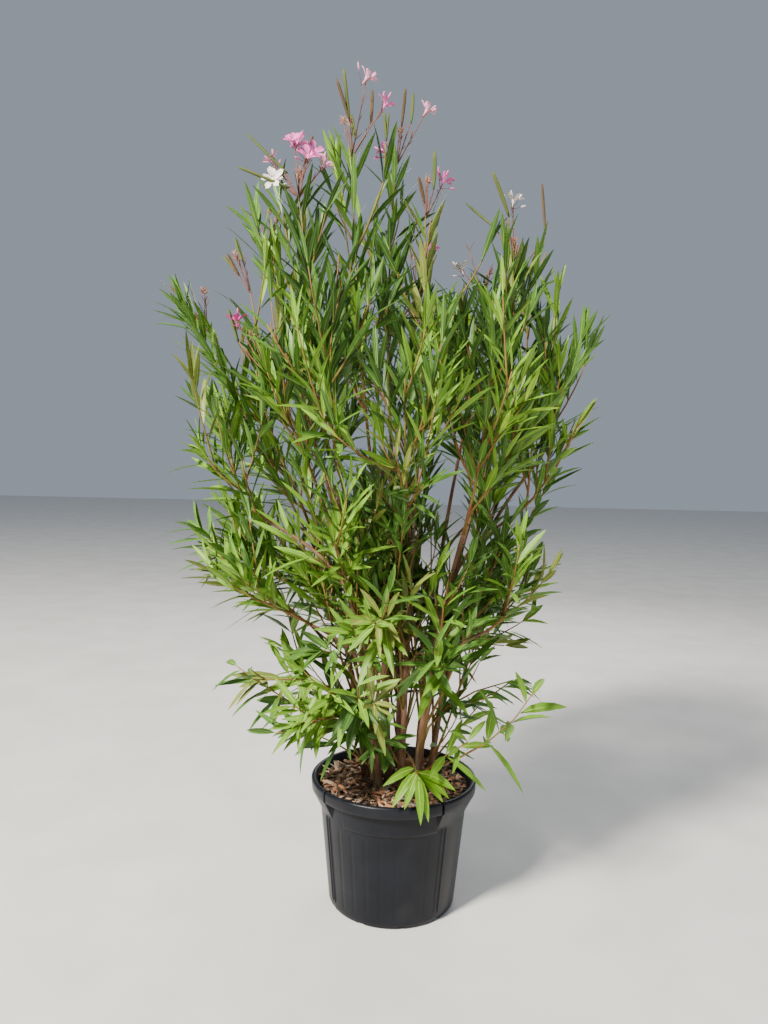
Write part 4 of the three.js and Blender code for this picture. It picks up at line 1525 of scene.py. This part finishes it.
    def risers(self, limb: Limb, index: int) -> None:
        """Long thin shoots that leave a stem near its foot and rise beside it.

        Args:
            limb: The stem.
            index: Its number, which starts the turn.
        """
        for i in range(3):
            t = self.rng.uniform(0.03, 0.3)
            turn = golden_turn(index, i)
            start = curve_at(limb.control, t)
            axis = heading_at(limb.control, t)
            heading = lean(axis, math.radians(self.rng.uniform(12, 24)), turn)
            reach = self.riser_reach * self.rng.uniform(0.6, 1.2)
            tip = start + reach * unit(heading + 0.35 * UP)
            control = arc(start, heading, tip, SHOOT_BEND)
            outside = not in_crown(control[1:], 0.9).all()
            if outside or in_gap(curve_at(control, RISER_CHECKS)).any():
                continue
            self.sprays.append(Spray(control, 4.6, 2.0, 0.55, 1, self.painted_light_tone(tip)))
            self.finer_twigs(control, reach, index + i, 0.4)

    def finer_twigs(self, control: Array, length: float, index: int, first: float) -> None:
        """Twigs a golden turn apart along a limb or shoot, kept inside the crown.

        Args:
            control: The curve that they leave.
            length: Its length.
            index: The number of the mass or limb, which starts the turn.
            first: Where along it the first one stands.
        """
        high = step(control[:, 2].mean(), 1400, 1800)
        count = int((1 - first) * length / (self.twig_spacing * (1 + self.open_top * high)))
        for i in range(count):
            t = first + (0.97 - 0.17 * high - first) * (i + self.rng.uniform()) / count
            turn = golden_turn(index, i, TURN_PLAY * self.rng.uniform())
            angle = math.radians(18 + 15 * self.rng.uniform())
            reach = self.twig_reach * self.rng.uniform(0.7, 1.3) * (1 - 0.35 * t)
            start = curve_at(control, t)
            heading = lean(heading_at(control, t), angle, turn)
            for share in SHOOT_SHARES:
                twig = rising(start, heading, share, reach)
                tip = twig[2]
                ahead = tip + heading_at(twig, 1.0) * 0.5 * self.leaf_length
                clear = self.growth.clear_of_limbs(start + 14 * heading, tip, 2)
                clear = clear and not in_gap(np.array([twig[1], tip, ahead])).any()
                if clear and in_crown(np.array([tip, ahead]), self.slack).all():
                    self.sprays.append(Spray(twig, 3.0, 1.5, 0.3, 1, self.painted_light_tone(tip)))
                    break

    def whorls(self, spray: Spray) -> Blades | None:
        """Whorls of three leaves along a spray, shorter and more upright towards its tip.

        Args:
            spray: The shoot that they stand on.

        Returns:
            The leaves that stay inside the crown and clear of limbs and pot, or None.
        """
        fan = spray.axis is not None
        fine = curve_at(spray.control, np.linspace(0, 1, 9))
        length = np.linalg.norm(np.diff(fine, axis=0), axis=1).sum()
        spacing = self.whorl_spacing * (1 + 0.8 * step(spray.control[1, 2], 1550, 1900))
        least = self.fan_whorls if fan else 2
        count = max(least, round((spray.last - spray.first) * length / spacing))
        whorl = np.repeat(np.arange(count), 3)
        crowded = 1 - (1 - whorl / (count - 1)) ** 1.35
        t = spray.first + (spray.last - spray.first) * crowded
        number = len(t)
        young = np.clip(1 - (1 - t) * length / self.young_length, 0, 1)
        root = curve_at(spray.control[None], t)
        axis = heading_at(spray.control[None], t)
        if fan:
            axis = np.broadcast_to(spray.axis, axis.shape)
        low = 1 - step(root[:, 2], 700, 1200)
        high = step(root[:, 2], 1300, 1900)
        loose = 0.25 if fan else 1
        turn = (self.fan_turn if fan else self.whorl_turn) * whorl
        turn = turn + 120 * np.tile(np.arange(3), count)
        turn = turn + self.rng.normal(0, 1, number) * (11 + 12 * low) * loose
        angle = 35 + 15 * low - 8 * high + spray.spread - 14 * young * (spray.spread == 0)
        angle = angle + self.rng.normal(0, 1, number) * (9 + 6 * low) * loose
        heading = lean(axis, np.radians(angle), np.radians(turn))
        size = spray.size * (1 - 0.26 * young * (not fan)) * (1 + 0.16 * high)
        breadth = spray.breadth * (1.05 + 0.3 * low - 0.12 * high)
        blades = Blades(
            root=root,
            heading=heading,
            face=axis + 0.35 * UP + self.rng.normal(0, 0.12, (number, 3)),
            length=self.leaf_length * size * self.rng.uniform(0.82, 1.18, number),
            width=self.leaf_width * size * breadth * self.rng.uniform(0.85, 1.15, number),
            bend=self.rng.uniform(0.0, 0.12, number),
            droop=self.rng.uniform(0.0, 0.08, number) + 0.05 * low + spray.droop,
            fold=self.rng.uniform(0.15, 0.5, number),
        )
        keep = self.has_room(blades)
        if fan:
            keep &= heading[:, 2] < 0.4
        share = np.where(in_shade(root), self.shade_share, self.open_share)
        keep &= self.rng.uniform(size=number) < share
        return blades.only(keep) if keep.any() else None

    def has_room(self, blades: Blades) -> Array:
        """Which leaves stay in the crown and the box, and clear of limbs, flowers and gaps.

        Args:
            blades: The leaves.

        Returns:
            A mask with one value for each leaf.
        """
        line = blades.midline(np.array([0.3, 0.5, 0.7, 0.85, 1.0]))
        tip = line[:, -1]
        keep = in_crown(line, 1.04, 3).all(1)
        keep &= ((tip > self.limits[0]) & (tip < self.limits[1])).all(-1)
        keep &= self.growth.clear_of_limbs(blades.root + 14 * blades.heading, tip, 1)
        between = line_distance(blades.root[:, None], tip[:, None], self.sights[0], self.sights[1])
        keep &= (between > FLOWER_ROOM).all(-1)
        return keep & ~in_gap(line).any(1)

    def build_twigs(self) -> None:
        """One joined piece of thin tapering tubes, which stands for every mass of the solids."""
        control = np.array([spray.control for spray in self.sprays])
        share = np.linspace(0, 1, self.twig_rings)
        start = np.array([spray.start_radius for spray in self.sprays])[:, None]
        end = np.array([spray.end_radius for spray in self.sprays])[:, None]
        radii = np.repeat((start + (end - start) * share)[..., None], self.twig_sides, axis=2)
        made = make_piece("twigs", self.bark.material(), "bark", tubes(control, radii))
        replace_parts(made, *["foliage_" + mass.name for mass in self.growth.masses])


# Canes


@dataclass
class Canes:
    """Stems and boughs with the relief of their bark: ridges, leaf scars and a lumpy foot."""

    growth: Growth
    rings: int = 130
    sides: int = 20
    girth: float = 0.86
    stub: tuple[tuple[float, float, float], ...] = ((44, 46, 338), (47, 42, 375), (50, 38, 406))
    stub_radius: float = 20
    bark: Finish = PatchedFinish(
        "cane bark",
        (0.110, 0.046, 0.022),
        (0.245, 0.125, 0.066),
        26,
        0.82,
        1.0,
        190,
        stretch=0.3,
        patch=(0.310, 0.225, 0.130),
        patch_scale=34,
        patch_from=0.54,
        patch_to=0.66,
        patch_share=0.7,
    )
    rng: np.random.Generator = numbers_from(41)

    def relief(self, limb: Limb) -> Array:
        """Radii of a limb's skin.

        The taper is multiplied by ridges that run along it, by rings at the leaf scars, and by
        lumps that fade within the flare's height.

        Args:
            limb: The stem or bough.

        Returns:
            Radii with shape (rings, sides).
        """
        t = np.linspace(0, 1, self.rings)[:, None]
        turn = np.linspace(0, 2 * np.pi, self.sides, endpoint=False)
        along = t * limb.length
        skin = np.ones((self.rings, self.sides))
        for lobes, size, length in ((2, 0.05, 210), (3, 0.04, 130), (5, 0.03, 61), (7, 0.02, 33)):
            phase, slip = self.rng.uniform(0, 2 * np.pi, 2)
            skin += size * np.sin(lobes * turn + phase + np.sin(2 * np.pi * along / length + slip))
        scar = 0.5 + 0.5 * np.cos(2 * np.pi * along / self.rng.uniform(46, 60))
        skin += 0.07 * scar**12 * (0.6 + 0.4 * np.cos(3 * turn + self.rng.uniform(0, 6)))
        skin += self.rng.normal(0, 0.012, skin.shape)
        foot = np.maximum(0, 1 - along / FLARE_HEIGHT)
        lumps = np.sin(3 * turn + self.rng.uniform(0, 6)) + np.sin(5 * turn + along / 14)
        skin += 0.09 * foot * lumps * (limb.flare > 0)
        return self.girth * limb.radius_at(t) * skin

    def build(self) -> None:
        """Makes the stems one piece and the boughs another."""
        look = self.bark.material()
        for name, group in (("canes", STEMS), ("boughs", BOUGHS)):
            limbs = [self.growth.limbs[each] for each in group]
            control = np.array([limb.control for limb in limbs])
            radii = np.array([self.relief(limb) for limb in limbs])
            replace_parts(make_piece(name, look, "bark", tubes(control, radii)), *group)
        self.build_stub()

    def build_stub(self) -> None:
        """The stub of an old cane, broken off near the soil, lumpy and with pale wood."""
        share = np.linspace(0, 1, 14)[:, None]
        turn = np.linspace(0, 2 * np.pi, 16, endpoint=False)
        lumps = 1 + 0.12 * np.sin(3 * turn + 9 * share) + 0.08 * np.sin(7 * turn - 14 * share)
        radii = self.stub_radius * (1 - 0.3 * share**2) * lumps
        wood = Finish("broken wood", (0.50, 0.27, 0.12), (0.34, 0.15, 0.06), 60, 0.85, 1.0, 200)
        skin = tubes(np.array([self.stub], float), radii[None])
        make_piece("old_stub", wood.material(), "bark", skin)


# Flowers and seed pods


PETAL_STATIONS = np.array([0, 0.22, 0.46, 0.7, 0.88, 1.0])
PETAL_WIDTHS = np.array([0.34, 0.52, 0.84, 1.0, 0.8, 0.3])

# Radii at the foot and the end of a head's stalks, and of what forks off them or stands by them
STALK_RADII, FORK_RADII, TUFT_RADII = (2.2, 1.4), (1.3, 1.0), (1.8, 1.2)
TWIG_RADII, FLOWER_RADII, BUD_RADII = (1.2, 0.9), (1.1, 0.9), (0.9, 0.8)

RIPE_POD = Finish(
    "ripe pod", (0.085, 0.062, 0.028), (0.120, 0.065, 0.032), 30, 0.7, 0.5, 260, gloss=0.2
)
GREEN_POD = Finish(
    "green pod", (0.066, 0.104, 0.020), (0.105, 0.118, 0.028), 24, 0.7, 0.3, 260, gloss=0.2
)


def upright(angle: float, swing: float) -> Array:
    """A direction that leans to the right by degrees, and swings forward in radians."""
    s, c = math.sin(math.radians(angle)), math.cos(math.radians(angle))
    return np.array([s * math.cos(swing), -math.sin(swing), c * math.cos(swing)])


@dataclass
class Heads:
    """The flower heads and seed pods at the tips of the leaders."""

    growth: Growth
    petal_length: float = 27.5
    petal_half: float = 9.2
    throat: float = 4.5
    tube: float = 20
    pod_radius: float = 3.5
    buds: int = 3
    extra_flowers: int = 1
    tufts: int = 2
    funnel: tuple[float, ...] = (1.4, 1.8, 2.8, 4.6, 6.6)
    rng: np.random.Generator = numbers_from(57)

    def __post_init__(self) -> None:
        """Gathers every head into the lists of its kinds and colours."""
        self.stalks: list[tuple[Array, float, float]] = []
        self.pods: list[Array] = []
        self.tuft_lines: list[Array] = []
        self.bud_lines: dict[Petal, list[Array]] = {petal: [] for petal in Petal}
        self.flowers: dict[Petal, list[tuple[Array, Array]]] = {petal: [] for petal in Petal}

        for mass in self.growth.masses:
            if mass.name in HEADS:
                self.gather(mass)
                self.add_tufts(mass)

    def sights(self) -> Array:
        """Where leaves keep away: lines from each flower a hand's length to the front."""
        spots = np.array([place for group in self.flowers.values() for place, _ in group])
        return np.stack([spots, spots + FLOWER_SIGHT * FRONT])

    def build(self) -> None:
        """Makes one piece of each kind and colour."""
        self.build_stalks()
        self.build_pods()
        for petal in Petal:
            self.build_flowers(petal)
            self.build_buds(petal)

    def gather(self, mass: Mass) -> None:
        """Places a head's stalks, pods and flowers where the solids have them.

        Args:
            mass: The mass that carries the head.
        """
        draws = self.growth.head_draws(mass)
        leader = mass.shoots[0].control
        root = leader[2] - STALK_SUNK * heading_at(leader, 1.0)
        for stalk in HEADS[mass.name]:
            swing = math.radians(STALK_SWING * (draws.next() - 0.5))
            end = root + stalk.length * upright(stalk.lean, swing)
            side = np.array([self.rng.uniform(-6, 6), self.rng.uniform(-6, 6), 0])
            line = np.array([root, (root + end) / 2 + side, end])
            self.stalks.append((line, *STALK_RADII))
            self.add_forks(line)
            for angle, length in stalk.pods:
                heading = upright(angle, swing + math.radians(12 * (draws.next() - 0.5)))
                self.add_pod(end, heading, length)
            if stalk.flower is not None:
                facing = unit(upright(stalk.flower, swing) + stalk.front * FRONT)
                self.add_cluster(end, facing, stalk)
            elif not stalk.pods:
                self.add_twigs(end, upright(stalk.lean, swing))

    def add_pod(self, start: Array, heading: Array, length: float) -> None:
        """A pair of slender pods side by side, which bow apart a little.

        Args:
            start: The end of their stalk.
            heading: The way that they point.
            length: Their length.
        """
        across = unit(np.cross(heading, UP) + NUDGE)
        for side in (-1, 1):
            bow = across * side * 4 + self.rng.normal(0, 2, 3)
            tip = start + heading * length * self.rng.uniform(0.93, 1) + side * across * 1.2
            middle = start + heading * length / 2 + bow
            self.pods.append(np.array([start - 4 * heading, middle, tip]))

    def add_forks(self, line: Array) -> None:
        """Short bare side stalks, where flowers have dropped off.

        Args:
            line: The stalk that they leave.
        """
        for _ in range(3):
            t = self.rng.uniform(0.35, 0.95)
            start, axis = curve_at(line, t), heading_at(line, t)
            way = lean(axis, self.rng.uniform(0.35, 0.8), self.rng.uniform(0, 6.3))
            tip = start + self.rng.uniform(14, 40) * unit(way + 0.4 * axis)
            self.stalks.append((np.array([start, start + 8 * way, tip]), *FORK_RADII))

    def add_tufts(self, mass: Mass) -> None:
        """Thin stalks with a dense tuft of what withered flowers leave, on the head's leader.

        Args:
            mass: The mass that carries the head.
        """
        tip = mass.shoots[0].control[2]
        for _ in range(self.tufts):
            heading = unit(UP + np.array([*self.rng.normal(0, 0.22, 2), 0]))
            start = tip - STALK_SUNK * heading
            end = tip + self.rng.uniform(50, 110) * heading
            line = np.array([start, (start + end) / 2 + self.rng.normal(0, 5, 3), end])
            self.stalks.append((line, *TUFT_RADII))
            self.add_forks(line)
            for _ in range(14):
                way = unit(heading + self.rng.normal(0, 0.6, 3))
                foot = end - self.rng.uniform(0, 12) * heading
                point = foot + self.rng.uniform(11, 19) * way
                self.tuft_lines.append(np.array([foot, foot + 6 * way, point]))

    def add_twigs(self, end: Array, heading: Array) -> None:
        """The bare forks of a head that has dropped its flowers.

        Args:
            end: The end of their stalk.
            heading: The way that it points.
        """
        for _ in range(4):
            tip = end + self.rng.uniform(18, 42) * unit(heading + self.rng.normal(0, 0.45, 3))
            self.stalks.append((np.array([end - 8 * heading, end, tip]), *TWIG_RADII))

    def add_cluster(self, end: Array, facing: Array, stalk: Stalk) -> None:
        """An open flower at the end of its stalk, with buds and, facing the front, another by it.

        Args:
            end: The end of the stalk.
            facing: The way that the flower faces.
            stalk: The stalk, with the flower's colour and how much it faces the front.
        """
        petal = stalk.petal
        self.flowers[petal].append((end, facing))
        for _ in range(self.extra_flowers if stalk.front > 1 else 0):
            way = unit(facing + self.rng.normal(0, 0.6, 3))
            place = end + self.rng.uniform(26, 38) * way - 14 * facing
            start = end - 26 * facing
            line = np.array([start, (start + place) / 2, place - 12 * way])
            self.stalks.append((line, *FLOWER_RADII))
            self.flowers[petal].append((place, way))
        for _ in range(self.buds):
            way = unit(facing + self.rng.normal(0, 0.55, 3))
            start = end - 24 * facing
            tip = start + self.rng.uniform(26, 44) * way
            self.stalks.append((np.array([start, (start + tip) / 2, tip]), *BUD_RADII))
            point = tip + self.rng.uniform(14, 20) * way
            self.bud_lines[petal].append(np.array([tip, tip + 9 * way, point]))

    def spindles(
        self, lines: list[Array], radius: float, fullest: float, sides: int, blunt: float = 0.4
    ) -> tuple[Array, Array]:
        """Tubes that swell from both ends: radius times sin(pi t^fullest)^blunt.

        Args:
            lines: The curve of each.
            radius: The greatest radius.
            fullest: The power that moves the fullest place along.
            sides: The sides of each tube.
            blunt: The power that makes the ends blunter.

        Returns:
            Vertices, and one tube's triangles.
        """
        share = np.linspace(0.01, 0.99, 9)
        swell = radius * np.sin(np.pi * share**fullest) ** blunt
        radii = np.broadcast_to(swell[None, :, None], (len(lines), 9, sides))
        return tubes(np.array(lines), radii)

    def build_stalks(self) -> None:
        """The stalks of all heads as one piece, and their withered tufts as another."""
        control = np.array([line for line, _, _ in self.stalks])
        start = np.array([start for _, start, _ in self.stalks])[:, None, None]
        end = np.array([end for _, _, end in self.stalks])[:, None, None]
        share = np.linspace(0, 1, 5)[None, :, None]
        radii = np.repeat(start + (end - start) * share, 5, axis=2)
        brown, red = (0.170, 0.078, 0.048), (0.155, 0.042, 0.034)
        look = Finish("head stalk", brown, red, 40, 0.7, 0.3, 300).material()
        make_piece("head_stalks", look, "bark", tubes(control, radii))
        brown, pale = (0.300, 0.110, 0.070), (0.420, 0.230, 0.160)
        look = Finish("withered", brown, pale, 60, 0.8, 0.3, 300).material()
        make_piece("withered_tufts", look, "foliage", self.spindles(self.tuft_lines, 1.3, 0.7, 5))

    def build_pods(self) -> None:
        """Seed pods, one pair in three ripe and brown and the others green."""
        pairs = [self.pods[i : i + 2] for i in range(0, len(self.pods), 2)]
        ripe = [pod for i, pair in enumerate(pairs) if i % 3 == 0 for pod in pair]
        green = [pod for i, pair in enumerate(pairs) if i % 3 for pod in pair]
        for name, pods, finish in (("ripe", ripe, RIPE_POD), ("green", green, GREEN_POD)):
            skins = self.spindles(pods, self.pod_radius, 0.9, 8, 0.16)
            make_piece(name + "_pods", finish.material(), "foliage", skins)

    def build_buds(self, petal: Petal) -> None:
        """Closed buds in a flower's colour.

        Args:
            petal: The colour.
        """
        if not self.bud_lines[petal]:
            return
        colour, shade = petal.value
        name = petal.name.lower()
        look = Finish(name + " bud", shade, colour, 40, 0.5, 0.1, 300).material()
        buds = self.spindles(self.bud_lines[petal], 2.9, 0.8, 7)
        make_piece("buds_" + name, look, "foliage", buds)

    def build_flowers(self, petal: Petal) -> None:
        """Open flowers: five broad petals, each turned a little, round a narrow throat.

        A petal is a grid of u out from the throat and v across, narrow at its foot and broadest
        at two thirds. A point is throat + length u outwards, v times the half width plus a twist
        sideways, and a cup that rises with u and dips again at its rim along the facing.

        Args:
            petal: The colour.
        """
        if not self.flowers[petal]:
            return
        ends = np.array([place for place, _ in self.flowers[petal]])
        facing = unit(np.array([way for _, way in self.flowers[petal]]))
        across = unit(np.cross(facing, UP) + NUDGE)
        over = np.cross(facing, across)
        turn = (2 * np.pi * np.arange(5) / 5)[None, :, None] + np.arange(len(facing))[:, None, None]
        out = across[:, None] * np.cos(turn) + over[:, None] * np.sin(turn)
        aside = over[:, None] * np.cos(turn) - across[:, None] * np.sin(turn)
        u, v = np.meshgrid(PETAL_STATIONS, np.linspace(-1, 1, 5), indexing="ij")
        u, v = u[..., None], v[..., None]
        half = self.petal_half * PETAL_WIDTHS[:, None, None]
        sideways = half * v + 3 * u**1.5
        outwards = self.throat + self.petal_length * u * (1 - 0.1 * v**2)
        rise = 21 * u - 8 * u**3 + 2 * u * v**2
        out, aside, ahead = (a[:, :, None, None] for a in (out, aside, facing[:, None]))
        points = ends[:, None, None, None] + out * outwards + aside * sideways + ahead * rise
        petals = points.reshape(-1, u.size, 3), grid_faces(*u.shape[:2], False)
        line = np.stack([ends - self.tube * facing, ends - 6 * facing, ends + facing], 1)
        funnel = np.array(self.funnel)[None, :, None]
        throats = tubes(line, np.broadcast_to(funnel, (len(ends), len(self.funnel), 8)))
        colour, shade = petal.value
        soft = tuple(0.75 * a + 0.25 * b for a, b in zip(colour, shade))
        name = petal.name.lower()
        look = Finish(name + " petal", colour, soft, 90, 0.55, 0.1, 300, gloss=0.3).material()
        make_piece("flowers_" + name, look, "foliage", petals, throats)


# Camera, light and floor


@dataclass
class Studio:
    """A pale floor, soft lights, and the camera at the photograph's viewing angle."""

    focal_pixels: float = 769
    picture_height: float = 1024
    pitch: float = 2.92
    roll: float = 1.24
    sensor: float = 36
    middle: tuple[float, float, float] = (0, 0, 1.1)
    floor_half: float = 30

    def build(self) -> None:
        """Sets the camera, the lights and the floor."""
        self.camera()
        self.area("key light", (-5.3, -5.8, 7.4), 1.6, 3150, (1, 0.955, 0.87))
        self.area("fill light", (3.6, -3.2, 2.6), 3.2, 45, (0.92, 0.95, 1))
        self.area("back light", (1.2, 4.2, 3.8), 2.6, 130, (1, 0.97, 0.92))
        world = bpy.data.worlds.new("pale sky")
        world.use_nodes = True
        sky = world.node_tree.nodes["Background"]
        sky.inputs["Color"].default_value = (0.74, 0.85, 1.0, 1)
        sky.inputs["Strength"].default_value = 0.38
        bpy.context.scene.world = world
        self.floor()

    def camera(self) -> None:
        """The camera's axes: forward, dipped by the pitch, with right and up turned by the roll."""
        pitch, roll = math.radians(self.pitch), math.radians(self.roll)
        forward = np.array([0, math.cos(pitch), -math.sin(pitch)])
        level = np.array([1.0, 0, 0])
        above = np.cross(level, forward)
        right = math.cos(roll) * level + math.sin(roll) * above
        above = -math.sin(roll) * level + math.cos(roll) * above
        data = bpy.data.cameras.new("camera")
        data.sensor_fit = "VERTICAL"
        data.sensor_height = self.sensor
        data.lens = self.sensor * self.focal_pixels / self.picture_height
        made = self.placed("camera", data, VIEWPOINT * MM, [right, above, -forward])
        bpy.context.scene.camera = made

    def placed(
        self, name: str, data: bpy.types.ID, place: Array | tuple, axes: list[Array]
    ) -> bpy.types.Object:
        """A camera or light at a place, with its own three axes along given directions.

        Args:
            name: The object's name.
            data: The camera or light.
            place: Its place, in metres.
            axes: Unit directions to the right, up and back.

        Returns:
            The new object.
        """
        made = bpy.data.objects.new(name, data)
        turned = Matrix(np.stack(axes, 1).tolist()).to_4x4()
        made.matrix_world = Matrix.Translation(tuple(place)) @ turned
        bpy.context.scene.collection.objects.link(made)
        return made

    def area(
        self, name: str, place: tuple[float, float, float], size: float, power: float, tint: Colour
    ) -> None:
        """A square area light that looks at the middle of the plant.

        Args:
            name: Its name.
            place: Its middle, in metres.
            size: The length of its side.
            power: Its power in watts.
            tint: Its colour.
        """
        data = bpy.data.lights.new(name, "AREA")
        data.size = size
        data.energy = power
        data.color = tint
        away = unit(np.array(place) - np.array(self.middle))
        side = unit(np.cross(UP, away))
        self.placed(name, data, place, [side, np.cross(away, side), away])

    def floor(self) -> None:
        """A wide pale floor under the pot."""
        half = self.floor_half
        mesh = bpy.data.meshes.new("floor")
        corners = [(-half, -half, 0), (half, -half, 0), (half, half, 0), (-half, half, 0)]
        mesh.from_pydata(corners, [], [(0, 1, 2, 3)])
        finish = Finish("floor", (0.66, 0.64, 0.61), (0.72, 0.70, 0.67), 3, 0.9, 0.05, 40)
        mesh.materials.append(finish.material())
        made = bpy.data.objects.new("floor", mesh)
        bpy.context.scene.collection.objects.link(made)
        made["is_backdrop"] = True


def as_lists(box: tuple) -> list[list[float]]:
    """A box's two corners as plain lists."""
    return [[float(value) for value in corner] for corner in box]


def main() -> None:
    """Loads the frame and builds every part of the plant in order."""
    logging.basicConfig(level=logging.INFO, format="%(name)s: %(message)s")
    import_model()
    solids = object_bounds()
    Studio().build()
    NurseryPot().build()
    Mulch().build()
    growth = Growth()
    LOG.info("shoots grown: %d", sum(len(mass.shoots) for mass in growth.masses))
    Canes(growth).build()
    reach = np.array(as_lists(solids)) / MM + np.array([[-LEAF_SPARE], [LEAF_SPARE]])
    heads = Heads(growth)
    Foliage(growth, reach, heads.sights()).build()
    heads.build()


if __name__ == "__main__":
    main()
